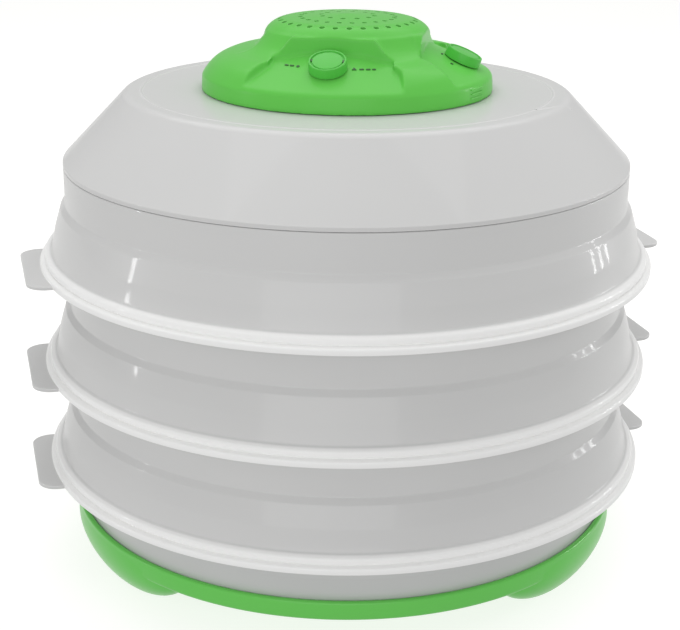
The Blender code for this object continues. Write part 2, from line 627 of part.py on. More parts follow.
def make_motor(head):
    bracket = merged("motor_bracket", [
        block((-BRACKET_LENGTH / 2, -BRACKET_WIDTH / 2, BRACKET_BOTTOM),
              (BRACKET_LENGTH / 2, BRACKET_WIDTH / 2, BRACKET_TOP), BRACKET_TURN)], head)
    finish(bracket, STEEL, roughness=0.35, metallic=1, smooth=False)
    holes = [rod(BUSH_RADIUS + 2 * GAP, BRACKET_BOTTOM - WALL, BRACKET_TOP + WALL)]
    for side in (0, math.pi):
        for reach in (BRACKET_SCREW_REACH, MOTOR_SCREW_REACH):
            holes.append(rod(SCREW_HOLE, BRACKET_BOTTOM - WALL, BRACKET_TOP + WALL,
                             at=polar(reach, BRACKET_TURN + side), sides=8))
    combine(bracket, merged("bracket_holes", holes, head), 'DIFFERENCE')

    bore = BUSH_RADIUS + GAP
    bevel = 1.5 * MM
    motor = turned("motor", [
        (bore, MOTOR_TOP), (MOTOR_RADIUS - bevel, MOTOR_TOP), (MOTOR_RADIUS, MOTOR_TOP - bevel),
        (MOTOR_RADIUS, MOTOR_BOTTOM), (bore, MOTOR_BOTTOM)], head, steps=24)
    finish(motor, STEEL, roughness=0.4, metallic=1)
    pilots = [rod(SCREW_HOLE, MOTOR_BOTTOM - WALL, MOTOR_BOTTOM + 6 * MM,
                  at=polar(MOTOR_SCREW_REACH, BRACKET_TURN + side), sides=8)
              for side in (0, math.pi)]
    combine(motor, merged("motor_pilots", pilots, head), 'DIFFERENCE')

    for name, bottom in (("upper_bush", MOTOR_TOP - BUSH_LENGTH), ("lower_bush", MOTOR_BOTTOM)):
        top = bottom + BUSH_LENGTH
        bush = turned(name, [(BUSH_BORE, top), (BUSH_RADIUS, top), (BUSH_RADIUS, bottom),
                             (BUSH_BORE, bottom)], head, steps=12)
        finish(bush, (0.5, 0.33, 0.12), roughness=0.35, metallic=1)

    for number, side in enumerate((0, math.pi), start=1):
        spot = (*polar(BRACKET_SCREW_REACH, BRACKET_TURN + side), BRACKET_TOP + GAP)
        screw(f"bracket_screw_{number}", head, spot, 7 * MM)
        spot = (*polar(MOTOR_SCREW_REACH, BRACKET_TURN + side), BRACKET_BOTTOM - GAP)
        screw(f"motor_screw_{number}", head, spot, 7 * MM, rotation=(math.pi, 0, 0))


def make_fan(spin):
    shaft_top = MOTOR_TOP + SHAFT_STUB
    shaft = turned("motor_shaft", [(0, shaft_top), (SHAFT_RADIUS, shaft_top),
                                   (SHAFT_RADIUS, SHAFT_BOTTOM), (0, SHAFT_BOTTOM)], spin,
                   steps=12)
    finish(shaft, STEEL, roughness=0.2, metallic=1)
    bore = SHAFT_RADIUS + GAP
    fan = turned("fan", [(bore, FAN_TOP), (FAN_HUB, FAN_TOP), (FAN_HUB, FAN_BOTTOM),
                         (bore, FAN_BOTTOM)], spin, steps=24)
    finish(fan, DARK, roughness=0.4)

    def blades(shape):
        chord = (FAN_HEIGHT - 2 * BLADE_THICKNESS) / math.sin(FAN_PITCH)
        root = FAN_HUB - WALL
        middle = (root + FAN_RADIUS) / 2
        for angle in ring_angles(FAN_BLADES):
            place = Matrix.Rotation(angle, 4, 'Z')
            place = place @ Matrix.Translation((middle, 0, (FAN_TOP + FAN_BOTTOM) / 2))
            place = place @ Matrix.Rotation(FAN_PITCH, 4, 'X')
            place = place @ Matrix.Diagonal((FAN_RADIUS - root, chord, BLADE_THICKNESS, 1))
            bmesh.ops.create_cube(shape, size=1, matrix=place)

    combine(fan, merged("fan_blades", [blades], spin), 'UNION')

    nut_top = FAN_BOTTOM - GAP
    nut = merged("fan_nut", [rod(NUT_RADIUS, nut_top - NUT_HEIGHT, nut_top, sides=6)], spin)
    finish(nut, STEEL, roughness=0.3, metallic=1, smooth=False)
    nut_bore = merged("nut_bore", [rod(bore, SHAFT_BOTTOM, FAN_TOP)], spin)
    combine(nut, nut_bore, 'DIFFERENCE')


def make_heater(head):
    outer = DUCT_INNER - GAP
    inner = outer - HEATER_RING_WIDTH
    bottom = -DUCT_DEPTH
    top = bottom + WALL
    frame = turned("heater_frame", [(outer, top), (outer, bottom), (inner, bottom),
                                    (inner, top)], head)
    finish(frame, MICA, roughness=0.6, smooth=False)
    reach = inner + HEATER_RING_WIDTH / 2
    half = HEATER_BAR / 2
    for number, angle in enumerate((0, math.pi / 2)):
        bar = merged(f"heater_bar_{number}", [block((-reach, -half, bottom + GAP),
                                                    (reach, half, top - GAP), angle)], head)
        combine(frame, bar, 'UNION')
    coil_middle = (inner - COIL_INSET, top + GAP + COIL_RADIUS)
    coil = turned("heater_coil", arc(coil_middle, (COIL_RADIUS, COIL_RADIUS),
                                     math.pi / 2, -math.pi * 7 / 6, 5), head, steps=24)
    finish(coil, (0.35, 0.30, 0.27), roughness=0.4, metallic=1)

    guard = turned("outlet_guard", [(GUARD_RADIUS, GUARD_TOP), (GUARD_RADIUS, GUARD_BOTTOM),
                                    (GUARD_INNER, GUARD_BOTTOM), (GUARD_INNER, GUARD_TOP)], head)
    finish(guard, DARK, roughness=0.5)
    reach = GUARD_INNER + WALL
    for number, angle in enumerate((math.radians(30), math.radians(90), math.radians(150))):
        bar = merged(f"guard_bar_{number}", [
            block((-reach, -GUARD_BAR / 2, GUARD_BOTTOM + GAP),
                  (reach, GUARD_BAR / 2, GUARD_TOP - GAP), angle)], head)
        combine(guard, bar, 'UNION')
    holes = [rod(SCREW_HOLE, GUARD_BOTTOM - WALL, GUARD_TOP + WALL,
                 at=polar(GUARD_SCREW_REACH, angle), sides=8)
             for angle in ring_angles(3, math.radians(30))]
    combine(guard, merged("guard_holes", holes, head), 'DIFFERENCE')
    for number, angle in enumerate(ring_angles(3, math.radians(30)), start=1):
        spot = (*polar(GUARD_SCREW_REACH, angle), GUARD_BOTTOM - GAP)
        screw(f"guard_screw_{number}", head, spot, 10 * MM, rotation=(math.pi, 0, 0))


def make_control(body_name, knob_name, spindle_name, fixed_frame, turning_frame):
    """A control body under its panel, and the spindle and knob that turn in it."""
    top = -HEAD_WALL - GAP
    bottom = top - CONTROL_DEPTH
    socket = bottom + 2 * MM
    bore = SPINDLE_RADIUS + GAP
    body = turned(body_name, [(bore, top), (CONTROL_RADIUS, top), (CONTROL_RADIUS, bottom),
                              (0, bottom), (0, socket), (bore, socket)], fixed_frame,
                  steps=SMALL_STEPS)
    finish(body, WHITE, roughness=0.5)
    spindle_top = KNOB_HEIGHT - KNOB_CAP - GAP
    spindle = turned(spindle_name, [(0, spindle_top), (SPINDLE_RADIUS, spindle_top),
                                    (SPINDLE_RADIUS, socket + GAP), (0, socket + GAP)],
                     turning_frame, steps=12)
    finish(spindle, WHITE, roughness=0.5)
    edge = 1 * MM
    knob = turned(knob_name, [(0, KNOB_HEIGHT), (KNOB_RADIUS - edge, KNOB_HEIGHT),
                              (KNOB_RADIUS, KNOB_HEIGHT - edge), (KNOB_RADIUS, GAP), (bore, GAP),
                              (bore, KNOB_HEIGHT - KNOB_CAP), (0, KNOB_HEIGHT - KNOB_CAP)],
                  turning_frame, steps=24)
    finish(knob, GREEN, roughness=0.3)


def make_electrics(head):
    deck = DECK_TOP + GAP
    reach = (DECK_HOLE + CHASSIS_COLLAR) / 2
    length, width, height = TERMINAL_SIZE
    terminals = merged("terminal_block", [
        block((-length / 2, reach - width / 2, deck),
              (length / 2, reach + width / 2, deck + height))], head)
    finish(terminals, WHITE, roughness=0.5, smooth=False)
    fuse = merged("thermal_fuse", [rod(FUSE_RADIUS, -FUSE_LENGTH / 2, FUSE_LENGTH / 2)], head,
                  location=(-reach, 0, deck + FUSE_RADIUS), rotation=(math.pi / 2, 0, 0))
    finish(fuse, STEEL, roughness=0.3, metallic=1)

    inside = -2 * HEAD_WALL
    gland = turned("cord_gland", [
        (GLAND_BORE, GLAND_LENGTH), (GLAND_RADIUS, GLAND_LENGTH), (GLAND_FLANGE, GAP + WALL),
        (GLAND_FLANGE, GAP), (GLAND_RADIUS, GAP), (GLAND_RADIUS, inside), (GLAND_BORE, inside)],
        head, (0, HEAD_RADIUS, GLAND_HEIGHT), (-math.pi / 2, 0, 0), steps=12)
    finish(gland, DARK, roughness=0.7)


def make_dehydrator():
    stand = joint_frame("stand")
    make_base(stand)
    bowl_lift = joint_frame("bowl_lift", stand, (0, 0, BOWL_SEAT))
    make_bowl(bowl_lift)
    below, below_height = bowl_lift, BOWL_SEAT
    for number in range(TRAY_COUNT, 0, -1):
        flange = LOWEST_FLANGE + (TRAY_COUNT - number) * TRAY_PITCH
        lift = joint_frame(f"tray_{number}_lift", below, (0, 0, flange - below_height))
        make_tray(f"tray_{number}", lift)
        below, below_height = lift, flange
    lid_lift = joint_frame("lid_lift", below, (0, 0, LID_SEAT - below_height))
    make_lid(lid_lift)
    head = joint_frame("head", lid_lift, (0, 0, HEAD_SEAT - LID_SEAT))
    dial_frames = (panel_frame("temperature_dial", head, 0), panel_frame("power_dial", head, 1))
    fixed_frames = (panel_frame("thermostat_seat", head, 0), panel_frame("switch_seat", head, 1))
    make_housing(head, fixed_frames)
    make_chassis(head)
    make_motor(head)
    make_fan(joint_frame("fan_spin", head))
    make_heater(head)
    make_control("thermostat", "temperature_knob", "thermostat_spindle", fixed_frames[0],
                 dial_frames[0])
    make_control("power_switch", "power_knob", "switch_spindle", fixed_frames[1], dial_frames[1])
    make_electrics(head)


make_dehydrator()
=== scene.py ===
"""Looks of a round food dehydrator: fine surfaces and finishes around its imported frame."""
import json
import math

import bmesh
import bpy
from mathutils import Matrix, Vector


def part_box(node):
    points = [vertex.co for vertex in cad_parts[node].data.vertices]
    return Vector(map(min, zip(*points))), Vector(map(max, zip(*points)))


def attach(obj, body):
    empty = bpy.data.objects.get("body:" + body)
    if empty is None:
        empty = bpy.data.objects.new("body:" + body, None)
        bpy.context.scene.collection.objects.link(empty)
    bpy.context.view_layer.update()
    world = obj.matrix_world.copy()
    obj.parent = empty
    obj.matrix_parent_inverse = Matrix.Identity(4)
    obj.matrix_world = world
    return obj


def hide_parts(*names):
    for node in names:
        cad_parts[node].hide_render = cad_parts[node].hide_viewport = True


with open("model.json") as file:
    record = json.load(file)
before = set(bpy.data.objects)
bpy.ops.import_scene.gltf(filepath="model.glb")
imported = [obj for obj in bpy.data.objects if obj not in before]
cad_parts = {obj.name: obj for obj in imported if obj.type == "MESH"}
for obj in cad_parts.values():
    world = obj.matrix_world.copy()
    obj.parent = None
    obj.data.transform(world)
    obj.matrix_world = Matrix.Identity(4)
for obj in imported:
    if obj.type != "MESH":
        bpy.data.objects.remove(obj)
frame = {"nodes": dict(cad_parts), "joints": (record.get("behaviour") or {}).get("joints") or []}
nodes = frame["nodes"]
joints = {joint["name"]: joint for joint in frame["joints"]}
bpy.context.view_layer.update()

MM = 0.001
GAP = 0.3 * MM
STEPS = 256                       # sides of the large turned pieces

# --- sizes of the stack -------------------------------------------------------------------
NECK = 164.2 * MM                 # outside of every upper wall
WALL = 2 * MM
SEAT_DEPTH = 2 * MM
LOCATOR_DEPTH = 3.5 * MM
LOCATOR = NECK - WALL - 0.4 * MM
TRAY_HEIGHT = 57.8 * MM
LEDGE_TOP = 36.7 * MM
LEDGE_FOOT = 33.3 * MM
LEDGE_STEP = 2.8 * MM
SKIRT_SPREAD = 9 * MM
SKIRT_FOOT = 9.2 * MM
FLANGE_REACH = 15.8 * MM
TAB_REACH = 10.1 * MM
TAB_HALF = 38 * MM
TAB_TURN = math.radians(25)
FLOOR_INNER = 34 * MM             # lattice of a tray's floor, inner and outer edge
FLOOR_OUTER = 152 * MM
HUB_HOLE = 22 * MM
FLOOR_BARS = 60
FLOOR_RINGS = 11
FLOOR_BAR = 1.8 * MM              # width and height of a lattice bar
LID_HEIGHT = 40.4 * MM
LID_TAPER = 31.7 * MM
LID_BEND = 7 * MM
LID_HOLE = 72 * MM
LID_BEAD = 118.3 * MM             # radius of the fine bead on the lid's top
LID_BEAD_SIZE = (0.8 * MM, 0.45 * MM)
# radius in mm, turn in degrees and drop in mm of each point of the hook on the lid's top
LID_NIB = ((119, -21, 0), (122, -18, 0), (125.5, -13, 0.4), (128, -10, 1.6), (130.5, -8, 3.6))
LID_NIB_THICKNESS = 1.1 * MM
BOWL_HEIGHT = 30.4 * MM
CHIMNEY = 30 * MM
CHIMNEY_HEIGHT = 14 * MM
BASE_EDGE = NECK + 1.2 * MM
BASE_WALL = 3.2 * MM
BASE_FLOOR = 2.5 * MM
BASE_RIM = 11.2 * MM
FOOT_TURNS = [math.radians(100 + 120 * i) for i in range(3)]
FOOT_REACH = BASE_EDGE - 23.4 * MM
FOOT_HEIGHT = 24 * MM             # middle of a foot's swelling over the table
FOOT_SIZE = (66 * MM, 24 * MM, 26 * MM)
PAD_RADIUS = 9 * MM
PAD_HEIGHT = 3.2 * MM
VENT_WIDTH = 4.5 * MM

# --- sizes of the power head, heights from its housing's underside ------------------------
HEAD_RADIUS = 83.9 * MM
HEAD_WALL = 2.4 * MM
WALL_TOP = 8.6 * MM
DOME_MIDDLE = (32.4 * MM, 29.8 * MM)
DOME_SIZE = (15.5 * MM, 10.3 * MM)
DOME_TOP = 42.3 * MM
SADDLE = (53.5 * MM, 23.6 * MM)   # the dip between the dome and the shoulder
SHOULDER_RUN = 17.3 * MM
SHOULDER_HEIGHT = 21.4 * MM
SHOULDER_BULGE = 2.2 * MM
PANEL_TILT = math.radians(23)
PANEL_EDGE = HEAD_RADIUS - 0.9 * MM
PANEL_EDGE_HEIGHT = 10.2 * MM
PANEL_BACK = 46 * MM
PANEL_HALF_BACK = 28 * MM
NOTCH_HALF = 31 * MM              # half width of the recess behind a knob
PANEL_SPREAD = 50 * MM            # how much wider a panel is at its far end
PANEL_FLARE = 0.4
NOTCH_FLOOR = 22 * MM
NOTCH_LEAN = -0.45                # how far the recess narrows as it rises
NOTCH_END = 57 * MM
BROW_TOP = 34.8 * MM              # top of the hill's front, just over a recess
BROW_LIP = 2.5 * MM
BROW_HALF = 23 * MM
BROW_REAR_HALF = 4 * MM           # the right recess has a shorter brow towards the back
RIDGE_TOP_REACH = 45.6 * MM
RIDGE_START = (47.2 * MM, 34.4 * MM)
RIDGE_END = (66.6 * MM, 21.4 * MM)
RIDGE_HOLLOW = 3.1 * MM
# turns in degrees between which the hill has its wide front
RIDGE_SECTOR = (206, 248, 290, 333)
# radius and number of holes of each ring of the air grille
GRILLE = ((38.7 * MM, 32), (27.0 * MM, 24), (15.3 * MM, 12))
GRILLE_HOLE = 1.6 * MM
KNOB_RADIUS = 10.6 * MM
KNOB_HEIGHT = 5.9 * MM

# --- camera -------------------------------------------------------------------------------
CAMERA_AZIMUTH = math.radians(10)
CAMERA_ELEVATION = math.radians(19.17)
CAMERA_DISTANCE = 0.895
CAMERA_AIM = 0.1359               # height of the point that it looks at
CAMERA_ROLL = math.radians(0.526)
CAMERA_LENS = 77.59
CAMERA_SHIFT = -0.0075

# --- heights read from the frame ----------------------------------------------------------
flange_heights = {n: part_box(n)[0].z + SEAT_DEPTH + LOCATOR_DEPTH
                  for n in ("tray_1", "tray_2", "tray_3")}
head_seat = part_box("head_housing")[0].z
lid_seat = head_seat - GAP - LID_HEIGHT
bowl_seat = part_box("drip_bowl")[0].z
base_bottom = bowl_seat - GAP - BASE_FLOOR


# --- mesh helpers -------------------------------------------------------------------------
def polar(radius, angle, height=0.0):
    return Vector((radius * math.cos(angle), radius * math.sin(angle), height))


def ring_angles(count, start=0.0):
    return [start + math.tau * i / count for i in range(count)]


def add_object(name, data):
    piece = bpy.data.objects.new(name, data)
    bpy.context.scene.collection.objects.link(piece)
    return piece


def from_shape(name, shape, sharp=40):
    """An object from a bmesh, with its faces turned outwards and shaded smooth."""
    bmesh.ops.remove_doubles(shape, verts=shape.verts, dist=1e-6)
    bmesh.ops.recalc_face_normals(shape, faces=shape.faces)
    mesh = bpy.data.meshes.new(name)
    shape.to_mesh(mesh)
    shape.free()
    mesh.shade_smooth()
    mesh.set_sharp_from_angle(angle=math.radians(sharp))
    return add_object(name, mesh)


def settle(piece, sharp=40):
    """Turn a piece's modifiers, or a curve, into a plain mesh in world space."""
    bpy.context.view_layer.update()
    evaluated = piece.evaluated_get(bpy.context.evaluated_depsgraph_get())
    mesh = bpy.data.meshes.new_from_object(evaluated)
    mesh.transform(piece.matrix_world)
    name = piece.name
    bpy.data.objects.remove(piece)
    shape = bmesh.new()
    shape.from_mesh(mesh)
    bpy.data.meshes.remove(mesh)
    return from_shape(name, shape, sharp)


def combine(piece, tool, operation):
    """Boolean a piece with a tool, which is used up."""
    step = piece.modifiers.new("combine", 'BOOLEAN')
    step.operation = operation
    step.solver = 'EXACT'
    step.object = tool
    result = settle(piece)
    bpy.data.objects.remove(tool)
    return result


def joined(name, pieces, sharp=40):
    """One object from several closed ones."""
    shape = bmesh.new()
    for piece in pieces:
        shape.from_mesh(piece.data)
        bpy.data.objects.remove(piece)
    return from_shape(name, shape, sharp)


def filleted(corners, closed=True, segments=5):
    """Outline whose (radius, height, fillet) corners are rounded by true arcs."""
    outline = []
    count = len(corners)
    for i, (r, z, fillet) in enumerate(corners):
        corner = Vector((r, z))
        at_end = not closed and i in (0, count - 1)
        if at_end or fillet <= 0:
            outline.append((r, z))
            continue
        before = Vector(corners[i - 1][:2]) - corner
        after = Vector(corners[(i + 1) % count][:2]) - corner
        opening = before.angle(after)
        reach = fillet / math.tan(opening / 2)
        reach = min(reach, 0.48 * before.length, 0.48 * after.length)
        size = reach * math.tan(opening / 2)
        middle = corner + (before.normalized() + after.normalized()).normalized() * (
            math.hypot(reach, size))
        first = corner + before.normalized() * reach - middle
        last = corner + after.normalized() * reach - middle
        turn = first.angle_signed(last)
        for k in range(segments + 1):
            spot = middle + Matrix.Rotation(-turn * k / segments, 2) @ first
            outline.append((spot.x, spot.y))
    return outline


def turned(name, outline, base=0.0, steps=STEPS, place=None, sharp=40):
    """Turn an outline about the axis. It is closed unless it starts and ends on the axis."""
    shape = bmesh.new()
    rings = []
    for radius, height in outline:
        if radius < 1e-7:
            rings.append([shape.verts.new((0, 0, base + height))])
        else:
            rings.append([shape.verts.new(polar(radius, angle, base + height))
                          for angle in ring_angles(steps)])
    pairs = list(zip(rings, rings[1:]))
    if len(rings[0]) > 1 and len(rings[-1]) > 1:
        pairs.append((rings[-1], rings[0]))
    for upper, lower in pairs:
        for i in range(steps):
            j = (i + 1) % steps
            corners = [upper[i % len(upper)], lower[i % len(lower)],
                       lower[j % len(lower)], upper[j % len(upper)]]
            shape.faces.new(list(dict.fromkeys(corners)))
    if place is not None:
        bmesh.ops.transform(shape, matrix=place, verts=shape.verts)
    return from_shape(name, shape, sharp)


def arc(centre, half_sizes, start, end, segments):
    points = []
    for i in range(segments + 1):
        angle = start + (end - start) * i / segments
        points.append((centre[0] + half_sizes[0] * math.cos(angle),
                       centre[1] + half_sizes[1] * math.sin(angle)))
    return points


def plate(name, points, thickness, edge, base=0.0, turn=0.0):
    """A flat plate of an outline, with rounded upper and lower edges."""
    curve = bpy.data.curves.new(name, 'CURVE')
    curve.dimensions = '2D'
    curve.fill_mode = 'BOTH'
    curve.extrude = thickness / 2 - edge
    curve.bevel_depth = edge
    curve.bevel_resolution = 3
    curve.offset = -edge
    spline = curve.splines.new('POLY')
    spline.points.add(len(points) - 1)
    for corner, (x, y) in zip(spline.points, points):
        corner.co = (x, y, 0, 1)
    spline.use_cyclic_u = True
    piece = add_object(name, curve)
    piece.matrix_world = Matrix.Rotation(turn, 4, 'Z') @ Matrix.Translation(
        (0, 0, base + thickness / 2))
    return settle(piece)


# --- node trees ---------------------------------------------------------------------------
class Net:
    """A node tree, filled by short calls. Links map a socket's name or number to its source."""

    def __init__(self, tree):
        self.tree = tree

    def wire(self, made, links, settings):
        for label, value in settings.items():
            setattr(made, label, value)
        for label, value in dict(links).items():
            if isinstance(value, bpy.types.NodeSocket):
                self.tree.links.new(value, made.inputs[label])
            else:
                made.inputs[label].default_value = value
        return made

    def shader(self, kind, links=(), **settings):
        return self.wire(self.tree.nodes.new('ShaderNode' + kind), links, settings)

    def geometry(self, kind, links=(), **settings):
        return self.wire(self.tree.nodes.new('GeometryNode' + kind), links, settings)

    def math(self, operation, *values, clamp=False):
        links = dict(enumerate(values))
        made = self.shader('Math', links, operation=operation, use_clamp=clamp)
        return made.outputs[0]

    def vector(self, x=0.0, y=0.0, z=0.0):
        return self.shader('CombineXYZ', {0: x, 1: y, 2: z}).outputs[0]

    def mix(self, share, first, second, blend='MIX'):
        made = self.shader('Mix', data_type='RGBA', blend_type=blend)
        for socket, value in ((made.inputs[0], share), (made.inputs[6], first),
                              (made.inputs[7], second)):
            if isinstance(value, bpy.types.NodeSocket):
                self.tree.links.new(value, socket)
            else:
                socket.default_value = value
        return made.outputs[2]


class Group(Net):
    """A group with named inputs and outputs."""

    def __init__(self, name, kind, inputs, outputs):
        super().__init__(bpy.data.node_groups.new(name, kind))
        for label, socket in inputs:
            self.tree.interface.new_socket(label, in_out='INPUT',
                                           socket_type='NodeSocket' + socket)
        for label, socket in outputs:
            self.tree.interface.new_socket(label, in_out='OUTPUT',
                                           socket_type='NodeSocket' + socket)
        self.given = self.tree.nodes.new('NodeGroupInput').outputs
        self.result = self.tree.nodes.new('NodeGroupOutput').inputs

    def give(self, label, value):
        self.tree.links.new(value, self.result[label])


class Pattern(Group):
    """A geometry nodes tree that makes a repeated shape."""

    def __init__(self, name, inputs):
        super().__init__(name, 'GeometryNodeTree', inputs, [("Geometry", 'Geometry')])

    def end(self, geometry, material):
        real = self.geometry('RealizeInstances', {0: geometry})
        painted = self.geometry('SetMaterial', {0: real.outputs[0], "Material": material})
        self.give("Geometry", painted.outputs[0])
        return self.tree


def grown(name, tree, values, base=0.0):
    """The plain mesh that a tree makes from its input values, at a height."""
    piece = add_object(name, bpy.data.meshes.new(name))
    step = piece.modifiers.new("pattern", 'NODES')
    step.node_group = tree
    for item in tree.interface.items_tree:
        if item.in_out == 'INPUT' and item.name in values:
            step[item.identifier] = values[item.name]
    piece.matrix_world = Matrix.Translation((0, 0, base))
    return settle(piece)


def lattice_tree(material):
    """Concentric ribs crossed by radial bars, all of one rectangular section."""
    tree = Pattern("lattice", [("Inner", 'Float'), ("Outer", 'Float'), ("Rings", 'Int'),
                            ("Bars", 'Int'), ("Width", 'Float'), ("Height", 'Float')])
    inner, outer, rings, bars, width, height = list(tree.given)[:6]
    section = tree.geometry('CurvePrimitiveQuadrilateral', {0: width, 1: height})
    span = tree.math('SUBTRACT', outer, inner)
    count = tree.math('ADD', rings, 1.0)
    pitch = tree.math('DIVIDE', span, count)
    ring = tree.geometry('CurvePrimitiveCircle', {"Resolution": 144, "Radius": 1.0})
    spots = tree.geometry('Points', {"Count": rings})
    index = tree.geometry('InputIndex')
    step = tree.math('ADD', index.outputs[0], 1.0)
    reach = tree.math('MULTIPLY_ADD', step, pitch, inner)
    set_rings = tree.geometry('InstanceOnPoints', {
        "Points": spots.outputs[0], "Instance": ring.outputs[0],
        "Scale": tree.vector(reach, reach, reach)})
    ring_lines = tree.geometry('RealizeInstances', {0: set_rings.outputs[0]})
    hoops = tree.geometry('CurveToMesh', {"Curve": ring_lines.outputs[0],
                                      "Profile Curve": section.outputs[0],
                                      "Fill Caps": True})
    line = tree.geometry('CurvePrimitiveLine', {"Start": tree.vector(inner),
                                            "End": tree.vector(outer)})
    turns = tree.geometry('Points', {"Count": bars})
    share = tree.math('DIVIDE', math.tau, bars)
    angle = tree.math('MULTIPLY', index.outputs[0], share)
    set_bars = tree.geometry('InstanceOnPoints', {
        "Points": turns.outputs[0], "Instance": line.outputs[0],
        "Rotation": tree.vector(0.0, 0.0, angle)})
    bar_lines = tree.geometry('RealizeInstances', {0: set_bars.outputs[0]})
    spokes = tree.geometry('CurveToMesh', {"Curve": bar_lines.outputs[0],
                                       "Profile Curve": section.outputs[0],
                                       "Fill Caps": True})
    both = tree.geometry('JoinGeometry')
    for part in (hoops, spokes):
        tree.tree.links.new(part.outputs[0], both.inputs[0])
    return tree.end(both.outputs[0], material)


def round_holes_tree():
    """A ring of upright rods, for cutting a ring of round holes."""
    tree = Pattern("round_holes", [("Ring Radius", 'Float'), ("Holes", 'Int'),
                                ("Hole Radius", 'Float'), ("Depth", 'Float')])
    radius, holes, hole, depth = list(tree.given)[:4]
    rod = tree.geometry('MeshCylinder', {"Vertices": 20, "Radius": hole, "Depth": depth})
    ring = tree.geometry('MeshCircle', {"Vertices": holes, "Radius": radius})
    rods = tree.geometry('InstanceOnPoints', {"Points": ring.outputs[0],
                                          "Instance": rod.outputs[0]})
    return tree.end(rods.outputs[0], None)


# --- finishes -----------------------------------------------------------------------------
def tone(red, green, blue, alpha=1.0):
    """A colour given as it looks on a screen, from 0 to 255."""
    channels = []
    for value in (red, green, blue):
        share = value / 255
        channels.append(share / 12.92 if share <= 0.04045 else ((share + 0.055) / 1.055) ** 2.4)
    return (*channels, alpha)


def edge_group():
    """Mask of the edges that hands and cloths rub: 1 on a sharp edge, 0 on a flat."""
    group = Group("edge_rub", 'ShaderNodeTree',
                  [("Width", 'Float'), ("Breakup", 'Float')], [("Mask", 'Float')])
    width, breakup = group.given[0], group.given[1]
    rounded = group.shader('Bevel', {"Radius": width}, samples=6)
    surface = group.shader('NewGeometry')
    meet = group.shader('VectorMath', {0: rounded.outputs[0], 1: surface.outputs["Normal"]},
                        operation='DOT_PRODUCT')
    bent = group.math('SUBTRACT', 1.0, meet.outputs["Value"])
    sharp = group.math('MULTIPLY', bent, 9.0, clamp=True)
    place = group.shader('TexCoord')
    patches = group.shader('TexNoise', {"Vector": place.outputs["Object"], "Scale": 55.0,
                                        "Detail": 4.0})
    kept = group.math('SUBTRACT', 1.0, group.math('MULTIPLY', patches.outputs[0], breakup))
    group.give("Mask", group.math('MULTIPLY', sharp, kept, clamp=True))
    return group.tree


def moulding_group():
    """Moulded plastic: slow cloudiness, faint flow marks, fine grain and hairline scuffs."""
    group = Group("moulded_plastic", 'ShaderNodeTree',
                  [("Colour", 'Color'), ("Deep Colour", 'Color'), ("Cloud Scale", 'Float'),
                   ("Cloud Amount", 'Float'), ("Roughness", 'Float'),
                   ("Roughness Spread", 'Float'), ("Grain Scale", 'Float'),
                   ("Grain Depth", 'Float')],
                  [("Colour", 'Color'), ("Roughness", 'Float'), ("Normal", 'Vector')])
    given = {socket.name: socket for socket in group.given if socket.name}
    place = group.shader('TexCoord').outputs["Object"]
    cloud = group.shader('TexNoise', {"Vector": place, "Scale": given["Cloud Scale"],
                                      "Detail": 3.0, "Distortion": 0.6})
    share = group.math('MULTIPLY', cloud.outputs[0], given["Cloud Amount"], clamp=True)
    base = group.mix(share, given["Colour"], given["Deep Colour"])
    stretched = group.shader('Mapping', {"Vector": place, "Scale": (1.0, 1.0, 5.0)})
    scuffs = group.shader('TexNoise', {"Vector": stretched.outputs[0], "Scale": 160.0,
                                       "Detail": 6.0, "Roughness": 0.7})
    rubbed = group.math('SUBTRACT', scuffs.outputs[0], 0.5)
    rough = group.math('MULTIPLY_ADD', rubbed, given["Roughness Spread"], given["Roughness"])
    smear = group.math('MULTIPLY_ADD', group.math('SUBTRACT', cloud.outputs[0], 0.5),
                       given["Roughness Spread"], rough)
    grain = group.shader('TexNoise', {"Vector": place, "Scale": given["Grain Scale"],
                                      "Detail": 2.0})
    swell = group.shader('TexNoise', {"Vector": place, "Scale": 28.0, "Detail": 1.0})
    height = group.math('MULTIPLY_ADD', swell.outputs[0], 6.0, grain.outputs[0])
    relief = group.shader('Bump', {"Height": height, "Distance": given["Grain Depth"],
                                   "Strength": 1.0})
    group.give("Colour", base)
    group.give("Roughness", smear)
    group.give("Normal", relief.outputs[0])
    return group.tree


def rim_highlight_group():
    """Mask of the outer rims, where a near-white painted highlight is mixed into the colour."""
    group = Group("thick_rims", 'ShaderNodeTree',
                  [("Start", 'Float'), ("Full", 'Float'), ("End", 'Float')], [("Mask", 'Float')])
    parted = group.shader('SeparateXYZ', {0: group.shader('TexCoord').outputs["Object"]})
    reach = group.shader('VectorMath', {0: group.vector(parted.outputs[0], parted.outputs[1])},
                         operation='LENGTH').outputs["Value"]
    shown = group.shader('MapRange', {"Value": reach, "From Min": group.given[0],
                                      "From Max": group.given[1]})
    kept = group.math('LESS_THAN', reach, group.given[2])
    group.give("Mask", group.math('MULTIPLY', shown.outputs[0], kept))
    return group.tree


